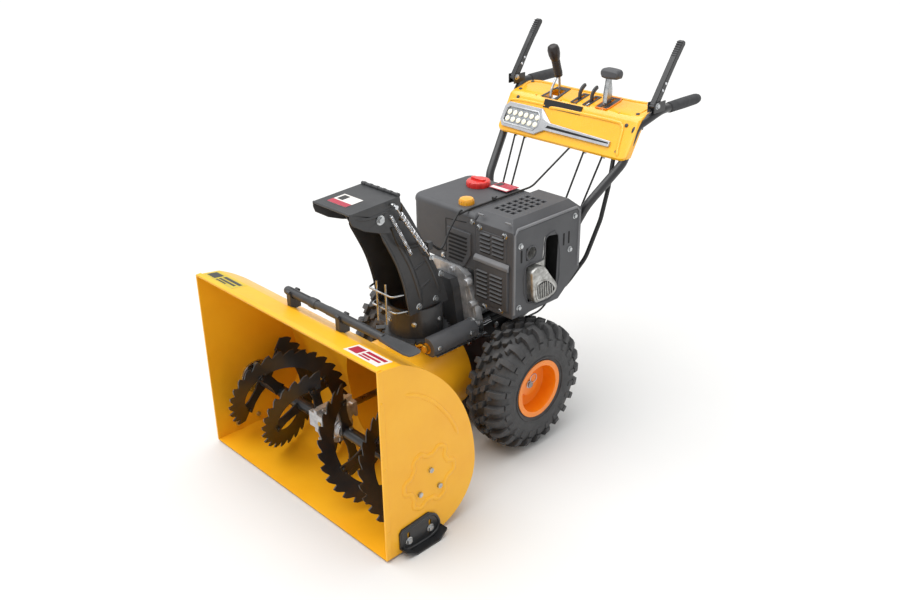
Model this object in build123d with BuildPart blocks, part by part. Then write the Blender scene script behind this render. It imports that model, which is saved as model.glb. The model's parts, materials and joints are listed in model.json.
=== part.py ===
from build123d import *
from math import cos, hypot, radians, sin, sqrt
import os

# Two-stage walk-behind snow blower.  +Z is up, the intake faces -Y, the operator stands at +Y and
# the machine's left side is +X.  The origin is on the floor, under the middle of the machine.

# ---------------------------------------------------------------- whole machine
LENGTH = 1376.0  # intake edge to the ends of the grips
FRONT = -LENGTH / 2
BACK = LENGTH / 2
SHEET = 3.0  # pressed steel and moulded walls
RUN = 0.05  # radial clearance of a shaft in its bearing
FREE = 0.5  # gap between faces that move past each other
FIT = 0.1  # radial clearance of a fixed pin or screw in its hole

# ---------------------------------------------------------------- intake and auger
HOUSING_WIDTH = 760.0
HALF_WIDTH = HOUSING_WIDTH / 2
AUGER_Y = FRONT + 148.0
AUGER_Z = 164.0
SCROLL_RADIUS = 158.0
BACK_RADIUS = 400.0
BACK_ANGLE = 65.5
ROOF_SLOPE = 0.14
AUGER_RADIUS = 148.0
AUGER_RIBBON = 54.0
AUGER_PLATE = 3.5
SHAFT_RADIUS = 9.5
BEARING_RADIUS = 50.0
BEARING_BOLT_CIRCLE = 38.0
BEARING_HUB = 27.0
BOLT_RADIUS = 4.0
SHOE_PLATE = 5.0
SHOE_LIP = 30.0

# ---------------------------------------------------------------- gearbox and impeller
WORM_OFFSET = 36.0  # impeller shaft above the auger shaft
WORM_RADIUS = 11.5
CASE_RADIUS = 42.0
CASE_HALF = 28.0
IMPELLER_Z = AUGER_Z + WORM_OFFSET
DRUM_RADIUS = 134.0
DRUM_BACK = AUGER_Y + 397.0
IMPELLER_RADIUS = DRUM_RADIUS - SHEET - 3.0
IMPELLER_PULLEY = 41.0

# ---------------------------------------------------------------- chute
CHUTE_Y = DRUM_BACK - 90.0
NECK_RADIUS = 78.0
FLANGE_RADIUS = 95.0
FLANGE_Z = IMPELLER_Z + DRUM_RADIUS + 2.0
FLANGE = 5.0
RING_Z = FLANGE_Z + FLANGE + FREE
RING = 8.0
RING_RADIUS = 92.0
TOOTH = 5.0
TEETH = 36
CHUTE_HALF = 65.0
CHUTE_WALL = 3.5
COLLAR_TOP = RING_Z + 95.0
HOOD_HALF = 75.0
PIVOT_Y = FRONT + 281.0
PIVOT_Z = 739.0
PIVOT_RADIUS = 5.0
WORM_X = RING_RADIUS + TOOTH + FREE + 15.0
WORM_Z = RING_Z + RING / 2

# ---------------------------------------------------------------- wheels and chassis
WHEEL_RADIUS = 190.0
TYRE_WIDTH = 128.0
WHEEL_X = 242.0
RIM_RADIUS = 75.0
RIM_FLANGE = 86.0
AXLE_RADIUS = 9.5
CHASSIS_FRONT = DRUM_BACK
CHASSIS_LENGTH = 255.0
CHASSIS_HALF = 104.0
AXLE_Y = CHASSIS_FRONT + 100.0
AXLE_Z = WHEEL_RADIUS
CHASSIS_TOP = AXLE_Z + 140.0
CHASSIS_BOTTOM = AXLE_Z - 145.0
CHASSIS_BACK = CHASSIS_FRONT + CHASSIS_LENGTH

# ---------------------------------------------------------------- friction drive
SHEAVE = 15.0
GROOVE = 9.0
BELT_HALF = 2.8
AUGER_SHEAVE_Y = CHASSIS_FRONT + 20.0
DRIVE_SHEAVE_Y = AUGER_SHEAVE_Y + SHEAVE + 3.0
DRIVE_Z = AXLE_Z + 62.0
DRIVE_SHEAVE_RADIUS = 50.0
DISC_Y = DRIVE_SHEAVE_Y + SHEAVE + 2.0
DISC = 10.0
DISC_RADIUS = 70.0
FRICTION_RADIUS = 54.0
HEX_Y = DISC_Y + DISC + 1.0 + FRICTION_RADIUS
HEX_ACROSS = 17.0
SPROCKET_X = 80.0
SPROCKET = 8.0
SMALL_SPROCKET = 16.0
LARGE_SPROCKET = 42.0

# ---------------------------------------------------------------- engine
ENGINE_FRONT = CHASSIS_FRONT + 57.0
ENGINE_Z = AXLE_Z + 160.0  # datum of the engine's casting and covers
CRANK_Z = ENGINE_Z + 80.0
CRANK_RADIUS = 12.5
ENGINE_PULLEY = 32.0
CASE_LEFT = 60.0
CASE_RIGHT = -90.0
CASE_TOP = ENGINE_Z + 150.0
FAN_Y = CHASSIS_BACK
FAN_DEPTH = 46.0
FAN_RADIUS = 88.0
RECOIL_RADIUS = 80.0
RECOIL_DEPTH = 34.0
SHROUD_LEFT = 95.0
SHROUD_RIGHT = -170.0
SHROUD_FRONT = ENGINE_FRONT - 2.0
SHROUD_BACK = SHROUD_FRONT + 250.0
SHROUD_BOTTOM = CASE_TOP + 5.0
SHROUD_TOP = ENGINE_Z + 322.0
COVER_LEFT = 235.0
COVER_BACK = SHROUD_FRONT + 285.0
COVER_TOP = ENGINE_Z + 330.0
COVER_BOTTOM = ENGINE_Z + 50.0
COVER_CHAMFER = 26.0
HEAD_LEFT = 142.0
FUEL_CAP = (-70.0, SHROUD_FRONT + 180.0)
OIL_CAP = (15.0, SHROUD_FRONT + 46.0)

# ---------------------------------------------------------------- handles and console
TUBE_RADIUS = 13.0
TUBE_WALL = 2.0
GRIP_X = 270.0
GRIP_Z = 880.0
GRIP_RADIUS = 16.0
GRIP_LENGTH = 152.0
CONSOLE_HALF = 253.0
CONSOLE_WALL = 3.0
FACE_Y = BACK - 326.0  # lower front edge of the console
FACE_Z = GRIP_Z - 125.0
FACE_RISE = 111.0
FACE_RUN = 66.0
DECK_DEPTH = 96.0
DECK_RISE = 22.0
LEVER_Y = BACK - 228.0
LEVER_Z = GRIP_Z + 20.0

os.makedirs("parts", exist_ok=True)


# ---------------------------------------------------------------- shared operations
def across(x):
    """Plane facing +X; sketch coordinates are (Y, Z)."""
    return Plane.YZ.offset(x)


def along(y):
    """Plane facing -Y; sketch coordinates are (X, Z)."""
    return Plane.XZ.offset(-y)


def level(z):
    """Plane facing +Z; sketch coordinates are (X, Y)."""
    return Plane.XY.offset(z)


def rod(start, end, radius, mode=Mode.ADD):
    """Round bar, boss or bore from one point to another."""
    axis = Vector(*end) - Vector(*start)
    with BuildSketch(Plane(origin=start, z_dir=axis)) as section:
        Circle(radius)
    extrude(section.sketch, amount=axis.length, mode=mode)


def plate(plane, points, thickness, mode=Mode.ADD):
    """Flat plate of a straight-sided outline, growing along the plane's normal."""
    with BuildSketch(plane) as outline:
        with BuildLine():
            Polyline(*points, close=True)
        make_face()
    extrude(outline.sketch, amount=thickness, mode=mode)


def block(low, high, mode=Mode.ADD):
    """Rectangular block between two opposite corners."""
    middle = ((low[0] + high[0]) / 2, (low[1] + high[1]) / 2)
    with BuildSketch(level(low[2])) as base:
        with Locations(middle):
            Rectangle(high[0] - low[0], high[1] - low[1])
    extrude(base.sketch, amount=high[2] - low[2], mode=mode)


def hexagon(start, end, radius, mode=Mode.ADD):
    """Hexagonal bar; the radius is to its corners."""
    axis = Vector(*end) - Vector(*start)
    with BuildSketch(Plane(origin=start, z_dir=axis)) as section:
        RegularPolygon(radius, 6)
    extrude(section.sketch, amount=axis.length, mode=mode)


def bolt(seat, direction, grip, radius=BOLT_RADIUS):
    """Bolt whose head stands on the seat, with its nut on the far side of the plates it grips."""
    seat = Vector(*seat)
    out = Vector(*direction)
    hexagon(seat, seat + out * radius * 1.5, radius * 1.85)
    rod(seat, seat - out * (grip + radius * 2), radius)
    hexagon(seat - out * grip, seat - out * (grip + radius * 1.6), radius * 1.85)


def tube(points, bends, outer, inner=0.0, mode=Mode.ADD):
    """Bar or pipe along straight runs joined by round bends."""
    with BuildLine() as route:
        FilletPolyline(*points, radius=bends)
    start = route.line @ 0
    heading = route.line % 0
    with BuildSketch(Plane(origin=start, z_dir=heading)) as section:
        Circle(outer)
        if inner:
            Circle(inner, mode=Mode.SUBTRACT)
    sweep(section.sketch, path=route.line, mode=mode)


def sheave(y, z, radius, bore):
    """One V-grooved pulley on an axis along Y."""
    deep = radius - GROOVE
    with BuildSketch(across(0)) as profile:
        with BuildLine():
            Polyline(
                (y, z + bore),
                (y, z + radius),
                (y + 1.5, z + radius),
                (y + SHEAVE / 2 - 3, z + deep),
                (y + SHEAVE / 2 + 3, z + deep),
                (y + SHEAVE - 1.5, z + radius),
                (y + SHEAVE, z + radius),
                (y + SHEAVE, z + bore),
                close=True,
            )
        make_face()
    revolve(profile.sketch, axis=Axis((0, y, z), (0, 1, 0)))


def belt(plane, first, second, inset, deep, half):
    """Closed band round two wheels, each given as centre and radius."""
    with BuildSketch(plane) as band:
        for centre, radius in (first, second):
            with Locations(centre):
                Circle(radius - inset)
        make_hull()
        with BuildSketch(mode=Mode.SUBTRACT):
            for centre, radius in (first, second):
                with Locations(centre):
                    Circle(radius - inset - deep)
            make_hull()
    extrude(band.sketch, amount=half, both=True)


def finish(piece, label):
    """Label a piece and write its STEP file."""
    piece.part.label = label
    export_step(piece.part, f"parts/{label}.step")


# ---------------------------------------------------------------- intake housing
def scroll_face(plane, front, inset):
    """Side outline of the intake: flat sill, round scroll, sweeping back and sloping roof."""
    with BuildSketch(plane) as outline:
        with BuildLine():
            sill = Line((front, AUGER_Z - SCROLL_RADIUS), (AUGER_Y, AUGER_Z - SCROLL_RADIUS))
            scroll = JernArc(sill @ 1, sill % 1, SCROLL_RADIUS, 90)
            back = JernArc(scroll @ 1, scroll % 1, BACK_RADIUS, BACK_ANGLE)
            ridge = back @ 1
            roof = Line(ridge, (front, ridge.Y + ROOF_SLOPE * (ridge.X - front)))
            Line(roof @ 1, sill @ 0)
        make_face()
        if inset:
            offset(amount=-inset)
    return outline.sketch


bearing_bolts = [
    (
        AUGER_Y + BEARING_BOLT_CIRCLE * cos(radians(angle)),
        AUGER_Z + BEARING_BOLT_CIRCLE * sin(radians(angle)),
    )
    for angle in (85, 205, 325)
]
shoe_bolt_ys = (FRONT + 69, FRONT + 141)
SHOE_BOLT_Z = 34.0

with BuildPart() as auger_housing:
    extrude(scroll_face(across(-HALF_WIDTH), FRONT, 0), amount=HOUSING_WIDTH)
    cavity = scroll_face(across(SHEET - HALF_WIDTH), FRONT - 2 * SHEET, SHEET)
    extrude(cavity, amount=HOUSING_WIDTH - 2 * SHEET, mode=Mode.SUBTRACT)
    rod((0, AUGER_Y, IMPELLER_Z), (0, DRUM_BACK, IMPELLER_Z), DRUM_RADIUS - SHEET, Mode.SUBTRACT)
    for y, z in bearing_bolts:
        rod((-HALF_WIDTH, y, z), (HALF_WIDTH, y, z), BOLT_RADIUS + FIT, Mode.SUBTRACT)
    for y in shoe_bolt_ys:
        start = (-HALF_WIDTH, y, SHOE_BOLT_Z)
        rod(start, (HALF_WIDTH, y, SHOE_BOLT_Z), BOLT_RADIUS + FIT, Mode.SUBTRACT)
finish(auger_housing, "auger_housing")

with BuildPart() as impeller_housing:
    rod((0, AUGER_Y, IMPELLER_Z), (0, DRUM_BACK, IMPELLER_Z), DRUM_RADIUS)
    rod((0, CHUTE_Y, IMPELLER_Z), (0, CHUTE_Y, FLANGE_Z), NECK_RADIUS)
    rod((0, CHUTE_Y, FLANGE_Z), (0, CHUTE_Y, FLANGE_Z + FLANGE), FLANGE_RADIUS)
    inner_back = DRUM_BACK - SHEET
    drum_bore = DRUM_RADIUS - SHEET
    rod((0, AUGER_Y, IMPELLER_Z), (0, inner_back, IMPELLER_Z), drum_bore, Mode.SUBTRACT)
    throat_top = FLANGE_Z + FLANGE
    rod((0, CHUTE_Y, IMPELLER_Z), (0, CHUTE_Y, throat_top), NECK_RADIUS - SHEET, Mode.SUBTRACT)
    extrude(scroll_face(across(-HALF_WIDTH), FRONT, 0), amount=HOUSING_WIDTH, mode=Mode.SUBTRACT)
    rod((0, inner_back, IMPELLER_Z), (0, DRUM_BACK, IMPELLER_Z), 20 + FIT, Mode.SUBTRACT)
finish(impeller_housing, "impeller_housing")

with BuildPart() as scraper_bar:
    sill = AUGER_Z - SCROLL_RADIUS
    block((-HALF_WIDTH + 12, FRONT + 14, sill - 5), (HALF_WIDTH - 12, FRONT + 74, sill))
finish(scraper_bar, "scraper_bar")

shoe_low = [(41, 20), (75, 0), (150, 0), (177, 22)]
shoe_high = [(166, 62), (138, 82), (49, 76), (41, 67)]
with BuildPart() as skid_shoes:
    for side in (-1, 1):
        outline = [(FRONT + y, z) for y, z in shoe_low + shoe_high]
        plate(across(side * HALF_WIDTH), outline, side * SHOE_PLATE)
        sole = [(FRONT + y, z) for y, z in shoe_low]
        sole_top = [(FRONT + y, z + SHOE_PLATE) for y, z in reversed(shoe_low)]
        plate(across(side * HALF_WIDTH), sole + sole_top, side * SHOE_LIP)
        with BuildSketch(across(side * HALF_WIDTH)):
            for y in shoe_bolt_ys:
                with Locations((y, SHOE_BOLT_Z + 10)):
                    SlotOverall(30, 2 * (BOLT_RADIUS + FIT), rotation=90)
        extrude(amount=side * SHOE_PLATE, mode=Mode.SUBTRACT)
finish(skid_shoes, "skid_shoes")

with BuildPart() as auger_bearings:
    for side in (-1, 1):
        inside = side * (HALF_WIDTH - SHEET)
        flange_end = inside - side * 6
        hub_end = inside - side * BEARING_HUB
        rod((inside, AUGER_Y, AUGER_Z), (flange_end, AUGER_Y, AUGER_Z), BEARING_RADIUS)
        rod((inside, AUGER_Y, AUGER_Z), (hub_end, AUGER_Y, AUGER_Z), 18)
        bore = SHAFT_RADIUS + RUN
        rod((inside, AUGER_Y, AUGER_Z), (hub_end, AUGER_Y, AUGER_Z), bore, Mode.SUBTRACT)
        for y, z in bearing_bolts:
            rod((inside, y, z), (flange_end, y, z), BOLT_RADIUS + FIT, Mode.SUBTRACT)
finish(auger_bearings, "auger_bearings")

case_bolts = [(-44, -30), (44, -30), (-46, 16), (46, 16), (-40, 62), (40, 62)]
with BuildPart() as frame_bolts:
    for side in (-1, 1):
        for y in shoe_bolt_ys:
            seat = (side * (HALF_WIDTH + SHOE_PLATE), y, SHOE_BOLT_Z)
            bolt(seat, (side, 0, 0), SHOE_PLATE + SHEET)
        for y, z in bearing_bolts:
            bolt((side * HALF_WIDTH, y, z), (side, 0, 0), SHEET + 6)
    for y, z in case_bolts:
        bolt((6.1, AUGER_Y + y, AUGER_Z + z), (1, 0, 0), 12.2, 3)
finish(frame_bolts, "frame_bolts")

# ---------------------------------------------------------------- auger rotor
FLIGHT_START = 50.0
SHEAR_PIN_X = FLIGHT_START + 24
FLIGHT_END = HALF_WIDTH - SHEET - BEARING_HUB - 8
FLIGHT_LENGTH = FLIGHT_END - FLIGHT_START
ribbon_inner = AUGER_RADIUS - AUGER_RIBBON
ribbon_middle = AUGER_RADIUS - AUGER_RIBBON / 2


def ribbon_edge(side):
    """Helical middle line of one auger plate, from the gearbox out to one side."""
    with BuildLine() as edge:
        Helix(
            FLIGHT_LENGTH * 1.1,
            FLIGHT_LENGTH,
            ribbon_middle,
            center=(side * FLIGHT_START, AUGER_Y, AUGER_Z),
            direction=(side, 0, 0),
            lefthand=side < 0,
        )
    return edge.line


for name, side in (("auger_left", 1), ("auger_right", -1)):
    edge = ribbon_edge(side)
    near = (side * FLIGHT_START, AUGER_Y, AUGER_Z)
    far = (side * FLIGHT_END, AUGER_Y, AUGER_Z)
    with BuildPart() as flight:
        start = edge @ 0
        radial = start - Vector(*near)
        with BuildSketch(Plane(origin=start, x_dir=radial, z_dir=edge % 0)) as section:
            Rectangle(AUGER_RIBBON, AUGER_PLATE)
        sweep(section.sketch, path=edge, is_frenet=True)
        for share in (0.03, 0.34, 0.66, 0.97):
            rim = edge @ share
            hub = Vector(rim.X, AUGER_Y, AUGER_Z)
            reach = ribbon_inner + 6
            with BuildSketch(Plane(origin=hub, x_dir=rim - hub, z_dir=(1, 0, 0))) as arm:
                with Locations(((reach + SHAFT_RADIUS + 2) / 2, 0)):
                    Rectangle(reach - SHAFT_RADIUS - 2, 26)
            extrude(arm.sketch, amount=2.5, both=True)
    with BuildPart() as auger_half:
        rod(near, far, 17)
        add(flight.part)
        add(flight.part.rotate(Axis(near, (1, 0, 0)), 180))
        rod(near, far, SHAFT_RADIUS + FIT, Mode.SUBTRACT)
        pin = side * SHEAR_PIN_X
        pin_foot = (pin, AUGER_Y, AUGER_Z - 30)
        rod(pin_foot, (pin, AUGER_Y, AUGER_Z + 30), 3 + FIT, Mode.SUBTRACT)
    finish(auger_half, name)

wheel_radius = WORM_OFFSET - WORM_RADIUS - FREE
with BuildPart() as auger_shaft:
    reach = HALF_WIDTH - SHEET - 1
    rod((-7, AUGER_Y, AUGER_Z), (7, AUGER_Y, AUGER_Z), wheel_radius)
    rod((-7, AUGER_Y, AUGER_Z), (7, AUGER_Y, AUGER_Z), SHAFT_RADIUS + FIT, Mode.SUBTRACT)
    rod((-reach, AUGER_Y, AUGER_Z), (reach, AUGER_Y, AUGER_Z), SHAFT_RADIUS)
    for side in (-1, 1):
        pin = side * SHEAR_PIN_X
        pin_foot = (pin, AUGER_Y, AUGER_Z - 20)
        rod(pin_foot, (pin, AUGER_Y, AUGER_Z + 20), 3 + FIT, Mode.SUBTRACT)
        rod((pin, AUGER_Y, AUGER_Z - 24), (pin, AUGER_Y, AUGER_Z + 18), 3)
        hexagon((pin, AUGER_Y, AUGER_Z + 17.5), (pin, AUGER_Y, AUGER_Z + 22.5), 6)
finish(auger_shaft, "auger_shaft")

# ---------------------------------------------------------------- worm gearbox
case_front = AUGER_Y - 58
case_back = AUGER_Y + 62
BOSS_END = FLIGHT_START - 6
with BuildPart() as gearbox_case:
    for side in (-1, 1):
        with BuildPart(mode=Mode.PRIVATE) as half:
            with BuildSketch(across(0)):
                with Locations((AUGER_Y, AUGER_Z)):
                    Circle(CASE_RADIUS)
                with Locations((AUGER_Y, IMPELLER_Z)):
                    Rectangle(case_back - case_front, 44)
            extrude(amount=side * CASE_HALF)
            with BuildSketch(across(side * 0.05)):
                with Locations((AUGER_Y, AUGER_Z)):
                    Circle(CASE_RADIUS + 10)
                with Locations((AUGER_Y, IMPELLER_Z)):
                    Rectangle(case_back - case_front, 66)
            extrude(amount=side * 6)
            rod((0, AUGER_Y, AUGER_Z), (side * BOSS_END, AUGER_Y, AUGER_Z), 20)
            wheel_space = (side * 12, AUGER_Y, AUGER_Z)
            rod((0, AUGER_Y, AUGER_Z), wheel_space, CASE_RADIUS - 6, Mode.SUBTRACT)
            shaft_bore = SHAFT_RADIUS + RUN
            boss = (side * BOSS_END, AUGER_Y, AUGER_Z)
            rod((0, AUGER_Y, AUGER_Z), boss, shaft_bore, Mode.SUBTRACT)
            worm_space = (0, AUGER_Y + 34, IMPELLER_Z)
            rod((0, AUGER_Y - 34, IMPELLER_Z), worm_space, WORM_RADIUS + 2, Mode.SUBTRACT)
            bore_front = (0, case_front + 6, IMPELLER_Z)
            rod(bore_front, (0, case_back, IMPELLER_Z), shaft_bore, Mode.SUBTRACT)
            for y, z in case_bolts:
                spot = (0, AUGER_Y + y, AUGER_Z + z)
                rod(spot, (side * CASE_HALF, spot[1], spot[2]), 3 + FIT, Mode.SUBTRACT)
                seat = (side * 6.05, spot[1], spot[2])
                rod(seat, (side * 40, spot[1], spot[2]), 7, Mode.SUBTRACT)
        add(half.part)
finish(gearbox_case, "gearbox_case")

# ---------------------------------------------------------------- impeller rotor
with BuildPart() as impeller_shaft:
    sheave(AUGER_SHEAVE_Y, IMPELLER_Z, IMPELLER_PULLEY, SHAFT_RADIUS + FIT)
    shaft_end = AUGER_SHEAVE_Y + SHEAVE + 2
    rod((0, case_front + 7, IMPELLER_Z), (0, shaft_end, IMPELLER_Z), SHAFT_RADIUS)
    rod((0, AUGER_Y - 32, IMPELLER_Z), (0, AUGER_Y + 32, IMPELLER_Z), WORM_RADIUS)
finish(impeller_shaft, "impeller_shaft")

BLADES = 4
with BuildPart() as impeller:
    hub_front = CHUTE_Y - 52
    hub_back = CHUTE_Y + 50
    rod((0, hub_front, IMPELLER_Z), (0, hub_back, IMPELLER_Z), 22)
    with BuildSketch(along(hub_front)) as blade:
        for index in range(BLADES):
            turn = 360 / BLADES * index + 20
            with Locations(Location((0, IMPELLER_Z, 0), (0, 0, turn))):
                with Locations((IMPELLER_RADIUS / 2, 0)):
                    Rectangle(IMPELLER_RADIUS - 1, 5)
                with Locations((IMPELLER_RADIUS - 9, 8)):
                    Rectangle(5, 18, rotation=-12)
    extrude(blade.sketch, amount=-(hub_back - hub_front))
    rod((0, hub_front, IMPELLER_Z), (0, hub_back, IMPELLER_Z), SHAFT_RADIUS + FIT, Mode.SUBTRACT)
finish(impeller, "impeller")

# ---------------------------------------------------------------- chute drive
with BuildPart() as chute_ring:
    rod((0, CHUTE_Y, RING_Z), (0, CHUTE_Y, RING_Z + RING), RING_RADIUS)
    with BuildSketch(level(RING_Z)):
        with Locations((0, CHUTE_Y)):
            with PolarLocations(RING_RADIUS + TOOTH / 2 - 0.5, TEETH):
                Trapezoid(9, TOOTH + 1, 72, rotation=-90)
    extrude(amount=RING)
    rod((0, CHUTE_Y, RING_Z), (0, CHUTE_Y, RING_Z + RING), NECK_RADIUS - SHEET, Mode.SUBTRACT)
finish(chute_ring, "chute_ring")

keeper_angles = (130, 230, 310)
with BuildPart() as chute_keepers:
    for angle in keeper_angles:
        outward = (cos(radians(angle)), sin(radians(angle)), 0)
        foot = Plane(origin=(0, CHUTE_Y, FLANGE_Z - 4), x_dir=outward, z_dir=(0, 0, 1))
        with BuildSketch(foot) as clamp:
            with Locations((FLANGE_RADIUS + 5, 0)):
                Rectangle(26, 22)
        extrude(clamp.sketch, amount=RING_Z + RING + FREE + 8 - FLANGE_Z)
    gap_bottom = (0, CHUTE_Y, FLANGE_Z)
    rod(gap_bottom, (0, CHUTE_Y, FLANGE_Z + FLANGE), FLANGE_RADIUS, Mode.SUBTRACT)
    swing = RING_RADIUS + TOOTH + 1.5
    rod((0, CHUTE_Y, FLANGE_Z + FLANGE), (0, CHUTE_Y, RING_Z + RING + FREE), swing, Mode.SUBTRACT)
finish(chute_keepers, "chute_keepers")

WORM_SHAFT = 6.0
worm_ears = (CHUTE_Y - 46, CHUTE_Y + 42, CHUTE_Y + 140)
with BuildPart() as chute_worm:
    rod((WORM_X, CHUTE_Y - 30, WORM_Z), (WORM_X, CHUTE_Y + 30, WORM_Z), 15)
    rod((WORM_X, CHUTE_Y - 54, WORM_Z), (WORM_X, CHUTE_Y + 152, WORM_Z), WORM_SHAFT)
finish(chute_worm, "chute_worm")

shelf_z = WORM_Z - 24
with BuildPart() as worm_bracket:
    block((60, CHUTE_Y - 50, shelf_z), (WORM_X + 26, CHUTE_Y + 60, shelf_z + SHEET))
    block((WORM_X - 8, CHUTE_Y + 40, shelf_z), (WORM_X + 26, CHUTE_Y + 150, shelf_z + SHEET))
    for y in worm_ears:
        block((WORM_X - 8, y, shelf_z), (WORM_X + 14, y + 4, WORM_Z + 13))
        rod((WORM_X, y, WORM_Z), (WORM_X, y + 4, WORM_Z), WORM_SHAFT + RUN, Mode.SUBTRACT)
    rod((0, CHUTE_Y, IMPELLER_Z), (0, CHUTE_Y, FLANGE_Z), NECK_RADIUS, Mode.SUBTRACT)
finish(worm_bracket, "worm_bracket")

with BuildPart() as worm_cover:
    cover_front = CHUTE_Y - 62
    cover_back = CHUTE_Y + 110
    rod((WORM_X, cover_front, WORM_Z), (WORM_X, cover_back, WORM_Z), 30)
    rod((WORM_X, cover_front + 3, WORM_Z), (WORM_X, cover_back, WORM_Z), 27, Mode.SUBTRACT)
    swing = RING_RADIUS + TOOTH + 6
    corner = (WORM_X - 40, cover_front - 1, shelf_z - 20)
    block(corner, (WORM_X - 9, cover_back + 1, WORM_Z + 60), Mode.SUBTRACT)
    block(corner, (WORM_X + 40, cover_back + 1, shelf_z + SHEET), Mode.SUBTRACT)
    rod((0, CHUTE_Y, FLANGE_Z - 20), (0, CHUTE_Y, WORM_Z + 40), swing, Mode.SUBTRACT)
finish(worm_cover, "worm_cover")

# ---------------------------------------------------------------- chute and hood
front_edge = [(376, 0), (362, 84), (340, 155), (310, 218), (283, 270)]
rear_edge = [(350, 343), (413, 240), (461, 145), (500, 62), (520, 0)]


def chute_face(plane, shift):
    """Side outline of the chute, bending forward from the collar to its top."""
    with BuildSketch(plane) as outline:
        with BuildLine():
            front = Spline(*[(FRONT + y + shift, COLLAR_TOP + z) for y, z in front_edge])
            rear = Spline(*[(FRONT + y + shift, COLLAR_TOP + z) for y, z in rear_edge])
            ear = [(FRONT + 258 + shift, PIVOT_Z + 8), (FRONT + 274 + shift, PIVOT_Z + 24)]
            Polyline(front @ 1, *ear, rear @ 0)
            Line(rear @ 1, front @ 0)
        make_face()
    return outline.sketch


HOOD_REACH = 84.0  # the hood's rear edge sweeps inside this radius of its pivot
EAR_REACH = 36.0
with BuildPart() as chute:
    extrude(chute_face(across(-CHUTE_HALF), 0), amount=2 * CHUTE_HALF)
    inner = CHUTE_HALF - CHUTE_WALL
    extrude(chute_face(across(-inner), -CHUTE_WALL - 1), amount=2 * inner, mode=Mode.SUBTRACT)
    block((-inner, FRONT + 200, COLLAR_TOP - 1), (inner, FRONT + 345, PIVOT_Z + 80), Mode.SUBTRACT)
    with BuildSketch(across(-CHUTE_HALF)) as swing_path:
        with Locations((PIVOT_Y, PIVOT_Z)):
            Circle(HOOD_REACH)
            Circle(EAR_REACH, mode=Mode.SUBTRACT)
        with BuildLine():
            Polyline(
                (PIVOT_Y, PIVOT_Z),
                (PIVOT_Y + 120, PIVOT_Z - 40),
                (PIVOT_Y + 120, PIVOT_Z + 120),
                (PIVOT_Y - 60, PIVOT_Z + 120),
                close=True,
            )
        make_face(mode=Mode.INTERSECT)
    extrude(amount=2 * CHUTE_HALF, mode=Mode.SUBTRACT)
    ring_top = RING_Z + RING
    rod((0, CHUTE_Y, ring_top), (0, CHUTE_Y, COLLAR_TOP), NECK_RADIUS)
    low = FRONT + front_edge[0][0]
    high = FRONT + rear_edge[-1][0]
    block((-CHUTE_HALF, low, COLLAR_TOP - 4), (CHUTE_HALF, high, COLLAR_TOP))
    rod((0, CHUTE_Y, ring_top), (0, CHUTE_Y, COLLAR_TOP), NECK_RADIUS - CHUTE_WALL, Mode.SUBTRACT)
    block((-inner, CHUTE_Y, COLLAR_TOP), (inner, CHUTE_Y + 50, COLLAR_TOP + 2), Mode.SUBTRACT)
    reach = CHUTE_HALF + 1
    pivot_end = (reach, PIVOT_Y, PIVOT_Z)
    rod((-reach, PIVOT_Y, PIVOT_Z), pivot_end, PIVOT_RADIUS + RUN, Mode.SUBTRACT)
finish(chute, "chute")

with BuildPart() as chute_guard:
    inner = CHUTE_HALF - CHUTE_WALL
    for z, y in ((COLLAR_TOP + 10, 384), (COLLAR_TOP + 62, 374)):
        ends = [(-inner, FRONT + y, z), (-inner + 14, FRONT + y - 44, z)]
        other = [(-x, y_end, z_end) for x, y_end, z_end in reversed(ends)]
        tube(ends + other, 12, 3)
    for x in (-18, 18):
        rod((x, FRONT + 335, COLLAR_TOP - 30), (x, FRONT + 335, COLLAR_TOP + 90), 3)
    add(chute.part, mode=Mode.SUBTRACT)
finish(chute_guard, "chute_guard")

HOOD_FRONT_Y = FRONT + 186
HOOD_BACK_Y = FRONT + 349
HOOD_FRONT_Z = PIVOT_Z + 38
HOOD_BACK_Z = PIVOT_Z + 46
SPRING_X = 95.0
SPRING_TOP_Y = FRONT + 317
SPRING_TOP_Z = PIVOT_Z + 32
with BuildPart() as chute_hood:
    outline = [
        (HOOD_FRONT_Y, HOOD_FRONT_Z - 14),
        (HOOD_FRONT_Y, HOOD_FRONT_Z),
        (HOOD_BACK_Y, HOOD_BACK_Z),
        (FRONT + 353, PIVOT_Z + 20),
        (FRONT + 340, PIVOT_Z - 26),
        (FRONT + 312, PIVOT_Z - 45),
        (FRONT + 274, PIVOT_Z - 34),
        (FRONT + 231, PIVOT_Z - 17),
        (FRONT + 192, PIVOT_Z + 8),
    ]
    plate(across(-HOOD_HALF), outline, 2 * HOOD_HALF)
    roof = [
        (FRONT + 150, PIVOT_Z - 80),
        (FRONT + 150, HOOD_FRONT_Z - SHEET - 1.8),
        (FRONT + 400, HOOD_BACK_Z - SHEET + 2.5),
        (FRONT + 400, PIVOT_Z - 80),
    ]
    plate(across(SHEET - HOOD_HALF), roof, 2 * (HOOD_HALF - SHEET), Mode.SUBTRACT)
    pivot_end = (HOOD_HALF, PIVOT_Y, PIVOT_Z)
    rod((-HOOD_HALF, PIVOT_Y, PIVOT_Z), pivot_end, PIVOT_RADIUS + FIT, Mode.SUBTRACT)
finish(chute_hood, "chute_hood")

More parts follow.
